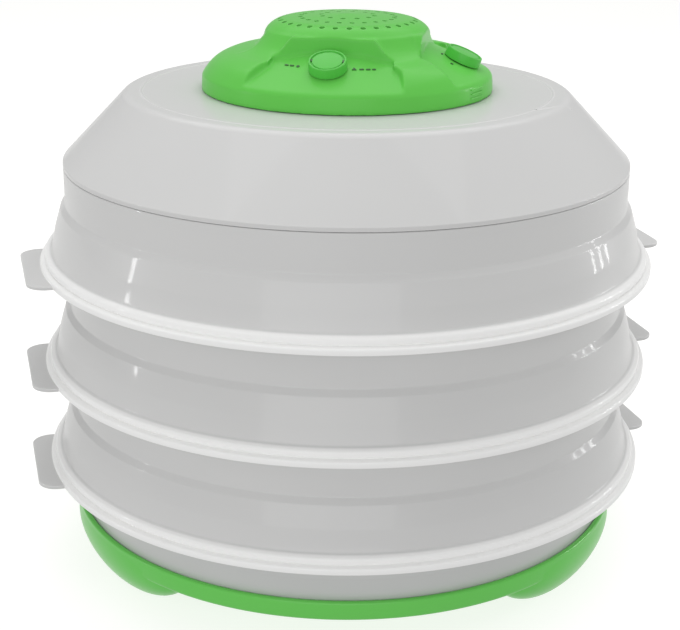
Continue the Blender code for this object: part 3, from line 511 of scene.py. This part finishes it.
def metal_group():
    """Worked metal: turned or drawn lines and slow tarnish."""
    group = Group("worked_metal", 'ShaderNodeTree',
                  [("Colour", 'Color'), ("Tarnish", 'Color'), ("Tarnish Amount", 'Float'),
                   ("Roughness", 'Float'), ("Line Scale", 'Float'), ("Line Depth", 'Float')],
                  [("Colour", 'Color'), ("Roughness", 'Float'), ("Normal", 'Vector')])
    given = {socket.name: socket for socket in group.given if socket.name}
    place = group.shader('TexCoord').outputs["Object"]
    parted = group.shader('SeparateXYZ', {0: place})
    reach = group.shader('VectorMath', {0: group.vector(parted.outputs[0], parted.outputs[1])},
                         operation='LENGTH').outputs["Value"]
    along = group.vector(group.math('MULTIPLY', reach, given["Line Scale"]),
                         group.math('MULTIPLY', parted.outputs[2], given["Line Scale"]), 0.0)
    lines = group.shader('TexNoise', {"Vector": along, "Scale": 1.0, "Detail": 3.0})
    stain = group.shader('TexNoise', {"Vector": place, "Scale": 90.0, "Detail": 5.0})
    share = group.math('MULTIPLY', stain.outputs[0], given["Tarnish Amount"], clamp=True)
    rough = group.math('MULTIPLY_ADD', lines.outputs[0], 0.18, given["Roughness"])
    relief = group.shader('Bump', {"Height": lines.outputs[0], "Strength": 1.0,
                                   "Distance": given["Line Depth"]})
    group.give("Colour", group.mix(share, given["Colour"], given["Tarnish"]))
    group.give("Roughness", group.math('MULTIPLY_ADD', share, 0.3, rough))
    group.give("Normal", relief.outputs[0])
    return group.tree


edge_rub = edge_group()
moulded = moulding_group()
thick_rims = rim_highlight_group()
worked = metal_group()


def new_material(name):
    material = bpy.data.materials.new(name)
    material.use_nodes = True
    net = Net(material.node_tree)
    return material, net, net.tree.nodes["Principled BSDF"]


def place_group(net, tree, values):
    made = net.shader('Group')
    made.node_tree = tree
    for label, value in values.items():
        made.inputs[label].default_value = value
    return made.outputs


def plastic(name, colour, deep, edge, roughness=0.3, cloud=6.0, cloud_amount=0.6, grain=900.0,
            depth=0.00001, edge_width=0.0008, edge_amount=0.5, coat=0.0, gloss=0.5, spread=0.1,
            rim_highlight_tone=None):
    """A moulded plastic whose rubbed edges take a worn tone, and whose outer rims, if it has any,
    take a painted highlight.
    """
    material, net, surface = new_material(name)
    body = place_group(net, moulded, {
        "Colour": colour, "Deep Colour": deep, "Cloud Scale": cloud,
        "Cloud Amount": cloud_amount, "Roughness": roughness, "Roughness Spread": spread,
        "Grain Scale": grain, "Grain Depth": depth})
    rub = place_group(net, edge_rub, {"Width": edge_width, "Breakup": 0.6})
    share = net.math('MULTIPLY', rub["Mask"], edge_amount)
    links = net.tree.links
    colour = net.mix(share, body["Colour"], edge)
    # painted highlight: the outer rims are mixed towards a near-white tone
    if rim_highlight_tone is not None:
        rim = place_group(net, thick_rims, {"Start": NECK + SKIRT_SPREAD + 0.3 * MM,
                                            "Full": NECK + SKIRT_SPREAD + 1.8 * MM,
                                            "End": NECK + FLANGE_REACH + 0.2 * MM})
        colour = net.mix(rim["Mask"], colour, rim_highlight_tone)
    links.new(colour, surface.inputs["Base Color"])
    links.new(net.math('MULTIPLY_ADD', share, 0.12, body["Roughness"]),
              surface.inputs["Roughness"])
    links.new(body["Normal"], surface.inputs["Normal"])
    surface.inputs["Specular IOR Level"].default_value = gloss
    surface.inputs["Coat Weight"].default_value = coat
    surface.inputs["Coat Roughness"].default_value = 0.06
    return material


def metal(name, colour, tarnish, roughness, tarnish_amount=0.5, line=3000.0, depth=0.000006):
    material, net, surface = new_material(name)
    body = place_group(net, worked, {
        "Colour": colour, "Tarnish": tarnish, "Tarnish Amount": tarnish_amount,
        "Roughness": roughness, "Line Scale": line, "Line Depth": depth})
    rub = place_group(net, edge_rub, {"Width": 0.0004, "Breakup": 0.5})
    links = net.tree.links
    bright = net.mix(net.math('MULTIPLY', rub["Mask"], 0.5), body["Colour"],
                     tone(235, 236, 238))
    links.new(bright, surface.inputs["Base Color"])
    links.new(body["Roughness"], surface.inputs["Roughness"])
    links.new(body["Normal"], surface.inputs["Normal"])
    surface.inputs["Metallic"].default_value = 1.0
    return material


green_gloss = plastic("green_gloss", tone(105, 203, 86), tone(100, 196, 81), tone(150, 226, 138),
                      roughness=0.3, coat=0.04, gloss=0.08, depth=0.000003, spread=0.05,
                      edge_width=0.0012, edge_amount=0.55)
# A lighter copy of the green plastic for the base: painted light that makes up for the light its
# low wall lacks.
green_base_painted_lighter = plastic("green_base_painted_lighter", tone(108, 209, 90), tone(102, 202, 85), tone(160, 232, 148),
                     roughness=0.3, coat=0.12, gloss=0.25, depth=0.000003, spread=0.05,
                     edge_width=0.0014, edge_amount=0.5)
green_knob = plastic("green_knob", tone(92, 198, 80), tone(86, 190, 74), tone(160, 232, 148),
                     roughness=0.3, coat=0.06, gloss=0.15, edge_width=0.0006, edge_amount=0.6)
# milky_white paints a near-white highlight onto the trays' outer rims
milky_white = plastic("milky_white", tone(216, 216, 215), tone(209, 209, 209),
                      tone(242, 242, 241), roughness=0.36, cloud=9.0, edge_width=0.0009,
                      edge_amount=0.7, depth=0.000003, coat=0.2, gloss=0.15, spread=0.06,
                      rim_highlight_tone=tone(250, 250, 249))
# A darker copy of the milky white plastic for the drip bowl: painted shade on its band under the
# lowest tray.
bowl_white_painted_shade = plastic("bowl_milky_white_painted_shade", tone(204, 205, 204), tone(196, 197, 196),
                    tone(236, 236, 235), roughness=0.32, cloud=9.0, edge_amount=0.5)
inner_white = plastic("inner_white", tone(214, 213, 206), tone(200, 199, 190),
                      tone(232, 231, 226), roughness=0.42, cloud=30.0)
dark_plastic = plastic("dark_plastic", tone(40, 41, 43), tone(30, 31, 32), tone(86, 88, 90),
                       roughness=0.45, cloud=40.0, grain=1600.0, depth=0.00003)
rubber = plastic("foot_rubber", tone(34, 34, 35), tone(48, 47, 46), tone(78, 76, 74),
                 roughness=0.78, cloud=120.0, grain=2500.0, depth=0.00006, gloss=0.25)
# Dark green ink for the printed panel marks, also used for the painted shade blocks in the knobs'
# sunk rings.
print_and_groove_shade_ink = plastic("printed_marks_and_groove_shade", tone(40, 84, 36), tone(52, 100, 46), tone(70, 120, 62),
                   roughness=0.5, cloud=400.0, edge_amount=0.2)
mica = plastic("mica_board", tone(170, 152, 118), tone(128, 108, 78), tone(206, 194, 168),
               roughness=0.5, cloud=220.0, cloud_amount=0.9, grain=1800.0, depth=0.00008)
zinc = metal("zinc_steel", tone(186, 190, 196), tone(128, 130, 132), 0.24)
motor_steel = metal("motor_steel", tone(152, 156, 160), tone(104, 106, 108), 0.3, line=1500.0)
heater_metal = metal("heater_metal", tone(128, 112, 100), tone(84, 66, 54), 0.34, 0.9)
brass = metal("bush_brass", tone(206, 172, 98), tone(140, 108, 58), 0.28, 0.6)


def dress(material, *names):
    """Give carried-over nodes their finish."""
    for name in names:
        slots = nodes[name].material_slots
        if not slots:
            nodes[name].data.materials.append(material)
        for item in slots:
            item.material = material


def settle_in(piece, body, material=None, replaced=()):
    """Finish a new piece: its material, the body it rides on and the nodes it stands for."""
    if material is not None:
        piece.data.materials.clear()
        piece.data.materials.append(material)
    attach(piece, body)
    if replaced:
        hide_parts(*replaced)
    return piece


# --- base ---------------------------------------------------------------------------------
def box_shape(low, high, turn=0.0, name="block"):
    shape = bmesh.new()
    size = Vector(high) - Vector(low)
    place = Matrix.Rotation(turn, 4, 'Z') @ Matrix.Translation((Vector(low) + Vector(high)) / 2)
    bmesh.ops.create_cube(shape, size=1, matrix=place @ Matrix.Diagonal((*size, 1)))
    return from_shape(name, shape)


def rod_shape(radius, bottom, top, at=(0, 0), sides=64, name="rod"):
    shape = bmesh.new()
    place = Matrix.Translation((at[0], at[1], (bottom + top) / 2))
    bmesh.ops.create_cone(shape, cap_ends=True, segments=sides, radius1=radius, radius2=radius,
                          depth=top - bottom, matrix=place)
    return from_shape(name, shape)


def foot_bulges():
    """Three smooth swellings of the base's edge, cut to sit under it and around it."""
    shape = bmesh.new()
    for angle in FOOT_TURNS:
        place = Matrix.Translation(polar(FOOT_REACH, angle, FOOT_HEIGHT))
        place = place @ Matrix.Rotation(angle + math.pi / 2, 4, 'Z')
        place = place @ Matrix.Diagonal((*FOOT_SIZE, 1))
        bmesh.ops.create_uvsphere(shape, u_segments=96, v_segments=64, radius=1, matrix=place)
    bulges = from_shape("foot_bulges", shape)
    far = 2 * BASE_EDGE
    inner = BASE_EDGE - BASE_WALL
    bulges = combine(bulges, box_shape((-far, -far, base_bottom + BASE_RIM - 1.6 * MM),
                                       (far, far, far)), 'DIFFERENCE')
    bulges = combine(bulges, rod_shape(inner + 1 * MM, base_bottom + BASE_FLOOR - 1 * MM, far,
                                       sides=STEPS), 'DIFFERENCE')
    return combine(bulges, box_shape((-far, -far, -far), (far, far, 1 * MM)), 'DIFFERENCE')


def make_base():
    inner = BASE_EDGE - BASE_WALL
    base = turned("base_shell", filleted([
        (0, BASE_FLOOR, 0), (inner, BASE_FLOOR, 1.2 * MM), (inner, BASE_RIM, 0.8 * MM),
        (BASE_EDGE, BASE_RIM, 1.3 * MM), (BASE_EDGE, 0, 2.6 * MM), (0, 0, 0)], closed=False),
        base_bottom)
    base = combine(base, foot_bulges(), 'UNION')
    pockets = [rod_shape(PAD_RADIUS + GAP, -2 * MM, PAD_HEIGHT + GAP, polar(FOOT_REACH, angle)[:2])
               for angle in FOOT_TURNS]
    base = combine(base, joined("pad_pockets", pockets), 'DIFFERENCE')
    slots = [box_shape((10 * MM, -VENT_WIDTH / 2, 0),
                       (CHIMNEY - WALL - GAP, VENT_WIDTH / 2, 50 * MM), angle)
             for angle in ring_angles(8)]
    base = combine(base, joined("base_vents", slots), 'DIFFERENCE')
    base.name = "base_shell"
    settle_in(base, "base", green_base_painted_lighter, ["base"])


def make_pads():
    for number, angle in enumerate(FOOT_TURNS, start=1):
        x, y = polar(FOOT_REACH, angle)[:2]
        pad = turned(f"foot_pad_{number}_rubber", filleted([
            (0, PAD_HEIGHT, 0), (PAD_RADIUS, PAD_HEIGHT, 0.3 * MM), (PAD_RADIUS, 0, 0.9 * MM),
            (6.4 * MM, 0, 0.4 * MM), (6 * MM, 0.6 * MM, 0.3 * MM), (4 * MM, 0.6 * MM, 0.3 * MM),
            (3.6 * MM, 0, 0.3 * MM), (0, 0, 0)], closed=False), steps=48,
            place=Matrix.Translation((x, y, 0)))
        settle_in(pad, "base", rubber, [f"foot_pad_{number}"])


# --- bowl, trays and lid ------------------------------------------------------------------
def make_bowl():
    foot = BASE_EDGE - BASE_WALL - GAP
    rim = base_bottom + BASE_RIM - bowl_seat
    straight = BOWL_HEIGHT - 8.5 * MM
    bowl = turned("drip_bowl_wall", filleted([
        (NECK, BOWL_HEIGHT, 0.7 * MM), (NECK, straight, 2 * MM), (foot, rim, 2 * MM),
        (foot, 0, 3.4 * MM), (CHIMNEY - WALL, 0, 0.6 * MM),
        (CHIMNEY - WALL, CHIMNEY_HEIGHT, 0.6 * MM), (CHIMNEY, CHIMNEY_HEIGHT, 0.6 * MM),
        (CHIMNEY, WALL, 1.5 * MM), (foot - WALL, WALL, 2.4 * MM), (foot - WALL, rim, 2 * MM),
        (NECK - WALL, straight, 2 * MM), (NECK - WALL, BOWL_HEIGHT, 0.7 * MM)]), bowl_seat)
    settle_in(bowl, "bowl", bowl_white_painted_shade, ["drip_bowl"])


def tab_points():
    """Outline of a flat grip tab along +X, with rounded outer corners."""
    corner = 11 * MM
    inner, outer = NECK + SKIRT_SPREAD, NECK + FLANGE_REACH + TAB_REACH
    points = [(inner, -TAB_HALF)]
    points += arc((outer - corner, corner - TAB_HALF), (corner, corner), -math.pi / 2, 0, 12)
    points += arc((outer - corner, TAB_HALF - corner), (corner, corner), 0, math.pi / 2, 12)
    points.append((inner, TAB_HALF))
    return points


def tray_outline():
    """One tray's wall from the top of its neck, down its outside and up its inside."""
    rim = NECK + FLANGE_REACH
    skirt = NECK + SKIRT_SPREAD
    swell = 0.5 * MM
    middle = ((NECK + LEDGE_STEP + skirt) / 2 + swell, (LEDGE_FOOT + SKIRT_FOOT) / 2)
    return filleted([
        (NECK, TRAY_HEIGHT, 0.8 * MM), (NECK, LEDGE_TOP, 1.6 * MM),
        (NECK + LEDGE_STEP, LEDGE_FOOT, 2.2 * MM), (*middle, 30 * MM),
        (skirt, SKIRT_FOOT, 1.6 * MM), (rim - 2.9 * MM, 8.0 * MM, 1.7 * MM),
        (rim - 2.7 * MM, 5.0 * MM, 0.5 * MM), (rim - 3.9 * MM, 4.5 * MM, 0.3 * MM),
        (rim - 3.9 * MM, 4.0 * MM, 0.3 * MM), (rim, 3.6 * MM, 1.2 * MM), (rim, 0, 0.6 * MM),
        (NECK + 3.8 * MM, 0, 0.3 * MM), (NECK + 3.8 * MM, -SEAT_DEPTH, 0.3 * MM),
        (LOCATOR, -SEAT_DEPTH, 0.3 * MM), (LOCATOR, -SEAT_DEPTH - LOCATOR_DEPTH, 0.6 * MM),
        (LOCATOR - WALL, -SEAT_DEPTH - LOCATOR_DEPTH, 0.6 * MM),
        (LOCATOR - WALL, -SEAT_DEPTH, 0.4 * MM), (FLOOR_OUTER, -SEAT_DEPTH, 0.4 * MM),
        (FLOOR_OUTER, 0.2 * MM, 0.4 * MM), (skirt - WALL, 0.2 * MM, 1.2 * MM),
        (middle[0] - WALL, middle[1], 30 * MM), (NECK + LEDGE_STEP - WALL, LEDGE_FOOT, 2 * MM),
        (NECK - WALL, LEDGE_TOP, 1.6 * MM), (NECK - WALL, TRAY_HEIGHT, 0.8 * MM)])


def make_trays():
    lattice = lattice_tree(milky_white)
    for node, body in (("tray_1", "upper_tray"), ("tray_2", "middle_tray"),
                       ("tray_3", "lower_tray")):
        base = flange_heights[node]
        wall = turned(body + "_ring", tray_outline(), base)
        hub = turned("hub", filleted([
            (FLOOR_INNER, 0.2 * MM, 0.4 * MM), (FLOOR_INNER, -SEAT_DEPTH, 0.4 * MM),
            (HUB_HOLE, -SEAT_DEPTH, 0.4 * MM), (HUB_HOLE, 0.2 * MM, 0.4 * MM)]), base, 96)
        tabs = [plate("tab", tab_points(), 2 * MM, 0.5 * MM, base + GAP, TAB_TURN + side)
                for side in (0, math.pi)]
        wall = joined(body + "_wall", [wall, hub, *tabs], sharp=50)
        settle_in(wall, body, milky_white, [node])
        mesh = grown(body + "_floor_lattice", lattice, {
            "Inner": FLOOR_INNER - 0.5 * MM, "Outer": FLOOR_OUTER + 0.5 * MM,
            "Rings": FLOOR_RINGS, "Bars": FLOOR_BARS, "Width": FLOOR_BAR,
            "Height": FLOOR_BAR}, base - FLOOR_BAR / 2)
        settle_in(mesh, body, milky_white)


def make_lid():
    top = NECK - LID_TAPER
    lid = turned("lid_dome", filleted([
        (LID_HOLE, LID_HEIGHT, 0.4 * MM), (top - 5 * MM, LID_HEIGHT, LID_BEND),
        (NECK - 0.7 * MM, 3.0 * MM, 0.8 * MM), (NECK, 2.3 * MM, 0.7 * MM), (NECK, 0, 0.3 * MM),
        (LOCATOR, 0, 0.3 * MM), (LOCATOR, -LOCATOR_DEPTH, 0.6 * MM),
        (LOCATOR - WALL, -LOCATOR_DEPTH, 0.6 * MM), (LOCATOR - WALL, WALL, 1 * MM),
        (top - 6 * MM, LID_HEIGHT - WALL, LID_BEND - WALL),
        (LID_HOLE, LID_HEIGHT - WALL, 0.4 * MM)], segments=8), lid_seat)
    ring = turned("lid_bead", arc((LID_BEAD, LID_HEIGHT - 0.2 * MM), LID_BEAD_SIZE, 0,
                                  math.tau, 12)[:-1], lid_seat)
    lid = joined("lid_dome", [lid, ring, lid_nib()])
    settle_in(lid, "lid", milky_white, ["lid"])


def lid_nib():
    """The small raised hook on the lid's top."""
    nib_points = [polar(radius * MM, math.radians(angle),
                        lid_seat + LID_HEIGHT - (0.5 + drop) * MM)
                  for radius, angle, drop in LID_NIB]
    curve = bpy.data.curves.new("lid_nib", 'CURVE')
    curve.dimensions = '3D'
    curve.bevel_depth = LID_NIB_THICKNESS
    curve.bevel_resolution = 4
    curve.resolution_u = 8
    curve.use_fill_caps = True
    spline = curve.splines.new('NURBS')
    spline.points.add(len(nib_points) - 1)
    for point, place in zip(spline.points, nib_points):
        point.co = (*place, 1)
    spline.order_u = 4
    spline.use_endpoint_u = True
    return settle(add_object("lid_nib", curve))


# --- power head ---------------------------------------------------------------------------
def head_profile(wall):
    """Outline of the housing's hill, moved inwards by a wall."""
    dome = arc(DOME_MIDDLE, (DOME_SIZE[0] - wall, DOME_SIZE[1] - wall), math.pi / 2, 0, 10)
    start = Vector((HEAD_RADIUS - SHOULDER_RUN - wall / 2, SHOULDER_HEIGHT - wall))
    end = Vector((HEAD_RADIUS - 0.5 * MM - wall, WALL_TOP - wall / 2))
    along = end - start
    outward = Vector((-along.y, along.x)).normalized()
    if outward.x < 0:
        outward = -outward
    steps = 12
    shoulder = []
    for step in range(steps + 1):
        bulge = SHOULDER_BULGE * math.sin(math.pi * step / steps)
        shoulder.append(tuple(start + along * step / steps + outward * bulge))
    saddle = (SADDLE[0] - wall / 2, SADDLE[1] - wall)
    return [(0, DOME_TOP - wall), *dome, saddle, *shoulder, (HEAD_RADIUS - wall, -wall),
            (0, -wall)]


def panel_height(reach):
    return PANEL_EDGE_HEIGHT + (PANEL_EDGE - reach) * math.tan(PANEL_TILT)


def flared_prism(name, start, end, halves, flare):
    """A prism along -Y between two reaches, whose sides lean outwards as they rise."""
    sky = 100 * MM
    shape = bmesh.new()
    for corner in bmesh.ops.create_cube(shape, size=2)["verts"]:
        front = corner.co.y < 0
        height = sky * corner.co.z
        half = halves[1] if front else halves[0]
        half = max(half + flare * (height - NOTCH_FLOOR), 1 * MM)
        corner.co = Vector((half * corner.co.x, -(end if front else start), height))
    return from_shape(name, shape)


def air_over_panel(turn, wall=0.0):
    """What is cut away over a control panel: a notch behind the knob and a flared slope."""
    far, near, sky = 1.3 * HEAD_RADIUS, PANEL_BACK / 2, 100 * MM
    drop = wall / math.cos(PANEL_TILT)
    air = turned("panel_air", [(far, sky), (far, panel_height(far) - drop),
                               (near, panel_height(near) - drop), (near, sky)], steps=192)
    notch = flared_prism("notch", PANEL_BACK - wall, NOTCH_END, (NOTCH_HALF + wall,) * 2,
                         NOTCH_LEAN)
    slope = flared_prism("slope", PANEL_BACK + 7 * MM - wall, far,
                         (PANEL_HALF_BACK + wall, PANEL_HALF_BACK + PANEL_SPREAD + wall),
                         PANEL_FLARE)
    cut = combine(combine(notch, slope, 'UNION'), air, 'INTERSECT')
    cut.data.transform(Matrix.Rotation(turn, 4, 'Z'))
    return cut


def ridge():
    """The front of the hill, which sweeps from the dome down to the shoulder."""
    start, end = Vector(RIDGE_START), Vector(RIDGE_END)
    inward = Vector((start.y - end.y, end.x - start.x)).normalized()
    steps = 8
    sweep = []
    for step in range(steps + 1):
        hollow = RIDGE_HOLLOW * math.sin(math.pi * step / steps)
        sweep.append(tuple(start.lerp(end, step / steps) - inward * hollow))
    body = turned("ridge", [(0, BROW_TOP), (RIDGE_TOP_REACH, BROW_TOP), *sweep,
                            (70 * MM, 18 * MM), (70 * MM, 10 * MM), (0, 10 * MM)], steps=192)
    points = [(0, 0)] + [tuple(polar(0.2, math.radians(angle))[:2]) for angle in RIDGE_SECTOR]
    return combine(body, plate("ridge_sector", points, 0.2, 0), 'INTERSECT')


def brow(turn, left, right):
    """The block behind a knob, level with the dome's edge, with its two half widths."""
    shape = bmesh.new()
    for corner in bmesh.ops.create_cube(shape, size=2)["verts"]:
        half = right if corner.co.x > 0 else left
        height = BROW_TOP
        if corner.co.z < 0:
            half += 12 * MM
            height = panel_height(PANEL_BACK) - 6 * MM
        reach = PANEL_BACK + BROW_LIP if corner.co.y < 0 else PANEL_BACK / 2
        corner.co = Vector((half * corner.co.x, -reach, height))
    bmesh.ops.transform(shape, matrix=Matrix.Rotation(turn, 4, 'Z'), verts=shape.verts)
    return from_shape("brow", shape)


def make_head():
    """The housing is cut from one block, softened all over and then hollowed."""
    turns = (0.0, math.pi / 2)
    head = turned("head_shell", head_profile(0), steps=192)
    core = turned("head_core", head_profile(HEAD_WALL), steps=128)
    head = combine(head, ridge(), 'UNION')
    for turn, right_half in zip(turns, (BROW_HALF, BROW_REAR_HALF)):
        head = combine(head, brow(turn, BROW_HALF, right_half), 'UNION')
    for turn in turns:
        head = combine(head, air_over_panel(turn), 'DIFFERENCE')
        core = combine(core, air_over_panel(turn, HEAD_WALL), 'DIFFERENCE')
    remesh = head.modifiers.new("even", 'REMESH')
    remesh.mode = 'VOXEL'
    remesh.voxel_size = 0.85 * MM
    soften = head.modifiers.new("soften", 'SMOOTH')
    soften.factor = 0.5
    soften.iterations = 6
    head = settle(head)
    head = combine(head, core, 'DIFFERENCE')
    grille = round_holes_tree()
    for radius, holes in GRILLE:
        rods = grown("grille_rods", grille, {"Ring Radius": radius, "Holes": holes,
                                             "Hole Radius": GRILLE_HOLE, "Depth": 30 * MM},
                     41 * MM)
        head = combine(head, rods, 'DIFFERENCE')
    for number, joint in enumerate(("temperature_turn", "power_turn")):
        spot = Vector(joints[joint]["pos_m"]) - Vector((0, 0, head_seat))
        shape = bmesh.new()
        bmesh.ops.create_cone(shape, cap_ends=True, segments=48, radius1=3.3 * MM,
                              radius2=3.3 * MM, depth=10 * MM,
                              matrix=Matrix.Translation(spot)
                              @ Matrix.Rotation(number * math.pi / 2, 4, 'Z')
                              @ Matrix.Rotation(PANEL_TILT, 4, 'X'))
        head = combine(head, from_shape("spindle_hole", shape), 'DIFFERENCE')
    shape = bmesh.new()
    bmesh.ops.create_cone(shape, cap_ends=True, segments=48, radius1=4.3 * MM, radius2=4.3 * MM,
                          depth=20 * MM, matrix=Matrix.Translation((0, HEAD_RADIUS, 6 * MM))
                          @ Matrix.Rotation(math.pi / 2, 4, 'X'))
    head = combine(head, from_shape("gland_hole", shape), 'DIFFERENCE')
    head.data.transform(Matrix.Translation((0, 0, head_seat)))
    settle_in(head, "lid", green_gloss, ["head_housing"])


def make_knob(name, joint_name, body, node):
    """A low turned knob with a sunk ring in its top and a bore for its spindle."""
    joint = joints[joint_name]
    axis = Vector(joint["axis"]).normalized()
    place = (Matrix.Translation(joint["pos_m"])
             @ axis.to_track_quat('Z', 'Y').to_matrix().to_4x4())
    bottom, top, bore = GAP, KNOB_HEIGHT, 3.3 * MM
    inner = KNOB_RADIUS * 0.78
    knob = turned(name, filleted([
        (0, top - 0.1 * MM, 0), (inner, top - 0.3 * MM, 0.5 * MM),
        (inner, top - 1 * MM, 0.2 * MM), (inner + 0.8 * MM, top - 1 * MM, 0.2 * MM),
        (inner + 1 * MM, top, 0.3 * MM), (KNOB_RADIUS - 0.3 * MM, top, 0.8 * MM),
        (KNOB_RADIUS, bottom, 0.3 * MM), (bore, bottom, 0.2 * MM),
        (bore, top - 1.3 * MM, 0.2 * MM), (0, top - 1.3 * MM, 0)], closed=False),
        steps=96, place=place)
    settle_in(knob, body, green_knob, [node])
    # Two dark blocks in the sunk ring at its left and right ends: painted shade where the ring's
    # inner step shades the groove.
    groove_shade_blocks = []
    for side in (-1, 1):
        low = Vector((side * (inner + 0.4 * MM) - 0.5 * MM, -1.1 * MM, top - 1.05 * MM))
        groove_shade_blocks.append(box_shape(low, low + Vector((1 * MM, 2.2 * MM, 0.6 * MM))))
    marks = joined(name + "_marks", groove_shade_blocks)
    marks.data.transform(place)
    settle_in(marks, body, print_and_groove_shade_ink)


def panel_marks(name, number, marks):
    """Thin printed marks on a conical panel, each a shape placed at an angle and a radius."""
    printed = []
    for points, angle, radius in marks:
        mark = plate("mark", points, 0.5 * MM, 0.05 * MM)
        mark.data.transform(
            Matrix.Rotation(number * math.pi / 2 + math.radians(angle), 4, 'Z')
            @ Matrix.Translation((0, -radius, head_seat + panel_height(radius) - 0.1 * MM))
            @ Matrix.Rotation(PANEL_TILT, 4, 'X'))
        printed.append(mark)
    settle_in(joined(name, printed), "lid", print_and_groove_shade_ink)


def dash(length, width=1 * MM):
    half, end = length / 2, width / 2
    return (arc((half - end, 0), (end, end), -math.pi / 2, math.pi / 2, 5)
            + arc((end - half, 0), (end, end), math.pi / 2, 3 * math.pi / 2, 5))


def make_marks():
    dot = arc((0, 0), (0.9 * MM, 0.9 * MM), 0, math.tau, 15)[:-1]
    triangle = [(-1.3 * MM, -1 * MM), (1.3 * MM, -1 * MM), (0, 1.4 * MM)]
    panel_marks("temperature_marks", 0, [
        (dash(2.6 * MM), -24.0, 58.9 * MM), (dash(2.6 * MM), -20.6, 58.9 * MM),
        (dot, -16.9, 59.0 * MM), (triangle, 13.5, 59.2 * MM),
        (dash(2.6 * MM), 17.4, 59.6 * MM), (dash(2.6 * MM), 20.8, 59.8 * MM),
        (dash(2.2 * MM), 23.8, 59.9 * MM)])
    panel_marks("power_marks", 1, [
        (dash(2.4 * MM), -5.7, 55.4 * MM), (dash(2.4 * MM), 14.5, 64 * MM),
        (dot, -14.5, 64 * MM)])


def make_grip_ridges():
    """Three short level ridges on the housing's upright wall."""
    ridges = []
    middle = math.radians(-21.5)
    for height in (3.0 * MM, 5.4 * MM, 7.8 * MM):
        bar = box_shape((HEAD_RADIUS - 1 * MM, -6.5 * MM, head_seat + height - 0.4 * MM),
                        (HEAD_RADIUS + 0.35 * MM, 6.5 * MM, head_seat + height + 0.4 * MM),
                        middle, name="ridge_bar")
        bevel = bar.modifiers.new("round", 'BEVEL')
        bevel.width = 0.3 * MM
        bevel.segments = 3
        ridges.append(settle(bar))
    settle_in(joined("grip_ridges", ridges), "lid", green_gloss)


# --- stage --------------------------------------------------------------------------------
def make_floor():
    floor = box_shape((-9, -9, -0.02), (9, 9, -0.0002), name="pale_floor")
    material, net, surface = new_material("pale_floor")
    place = net.shader('TexCoord').outputs["Object"]
    mottle = net.shader('TexNoise', {"Vector": place, "Scale": 3.0, "Detail": 3.0})
    net.tree.links.new(net.mix(mottle.outputs[0], tone(150, 150, 149), tone(154, 154, 153)),
                       surface.inputs["Base Color"])
    surface.inputs["Roughness"].default_value = 0.9
    surface.inputs["Emission Color"].default_value = (1, 1, 0.985, 1)
    surface.inputs["Emission Strength"].default_value = 0.8
    floor.data.materials.append(material)
    floor.visible_diffuse = False


def soft_light(name, azimuth, height, distance, size, power, aim=0.15):
    """A soft box at an azimuth measured from the front, turned to face the object."""
    data = bpy.data.lights.new(name, 'AREA')
    data.shape = 'RECTANGLE'
    data.size, data.size_y = size
    data.energy = power
    light = bpy.data.objects.new(name, data)
    angle = math.radians(azimuth)
    light.location = (distance * math.sin(angle), -distance * math.cos(angle), height)
    gaze = Vector((0, 0, aim)) - light.location
    light.rotation_euler = gaze.to_track_quat('-Z', 'Y').to_euler()
    bpy.context.scene.collection.objects.link(light)


def make_lights():
    soft_light("overhead", 190, 1.9, 0.5, (2.4, 2.0), 24)
    soft_light("front_fill", 5, 0.55, 2.0, (1.8, 0.9), 12)
    soft_light("left_window", -72, 0.45, 1.5, (0.05, 0.5), 2.4)
    for number, azimuth in enumerate((112, 117, 122)):
        soft_light(f"right_window_{number + 1}", azimuth, 0.45, 1.5, (0.04, 0.6), 1.5)
    world = bpy.data.worlds.new("soft_room")
    world.use_nodes = True
    world.node_tree.nodes["Background"].inputs["Color"].default_value = (1.0, 1.0, 1.0, 1)
    world.node_tree.nodes["Background"].inputs["Strength"].default_value = 0.45
    bpy.context.scene.world = world
    bpy.context.scene.view_settings.view_transform = 'Standard'


def make_camera():
    data = bpy.data.cameras.new("camera")
    data.sensor_width = 36
    data.lens = CAMERA_LENS
    data.shift_x = CAMERA_SHIFT
    data.clip_start, data.clip_end = 0.01, 50
    camera = bpy.data.objects.new("camera", data)
    level = math.cos(CAMERA_ELEVATION)
    back = Vector((math.sin(CAMERA_AZIMUTH) * level, -math.cos(CAMERA_AZIMUTH) * level,
                   math.sin(CAMERA_ELEVATION)))
    camera.location = Vector((0, 0, CAMERA_AIM)) + back * CAMERA_DISTANCE
    camera.rotation_mode = 'QUATERNION'
    roll = Matrix.Rotation(CAMERA_ROLL, 4, 'Z').to_quaternion()
    camera.rotation_quaternion = (-back).to_track_quat('-Z', 'Y') @ roll
    bpy.context.scene.collection.objects.link(camera)
    bpy.context.scene.camera = camera


make_camera()
make_floor()
make_lights()
make_base()
make_pads()
make_bowl()
make_trays()
make_lid()
make_head()
make_marks()
make_grip_ridges()
make_knob("temperature_knob_cap", "temperature_turn", "temperature_dial", "temperature_knob")
make_knob("power_knob_cap", "power_turn", "power_dial", "power_knob")

dress(dark_plastic, "fan_chassis", "power_switch", "fan", "cord_gland")
dress(inner_white, "terminal_block", "thermostat")
dress(zinc, "motor_bracket", "motor_shaft", "fan_nut", "thermostat_spindle", "switch_spindle",
      "outlet_guard", "thermal_fuse")
dress(zinc, *[name for name in nodes if "screw" in name])
dress(motor_steel, "motor")
dress(brass, "upper_bush", "lower_bush")
dress(mica, "heater_frame")
dress(heater_metal, "heater_coil")
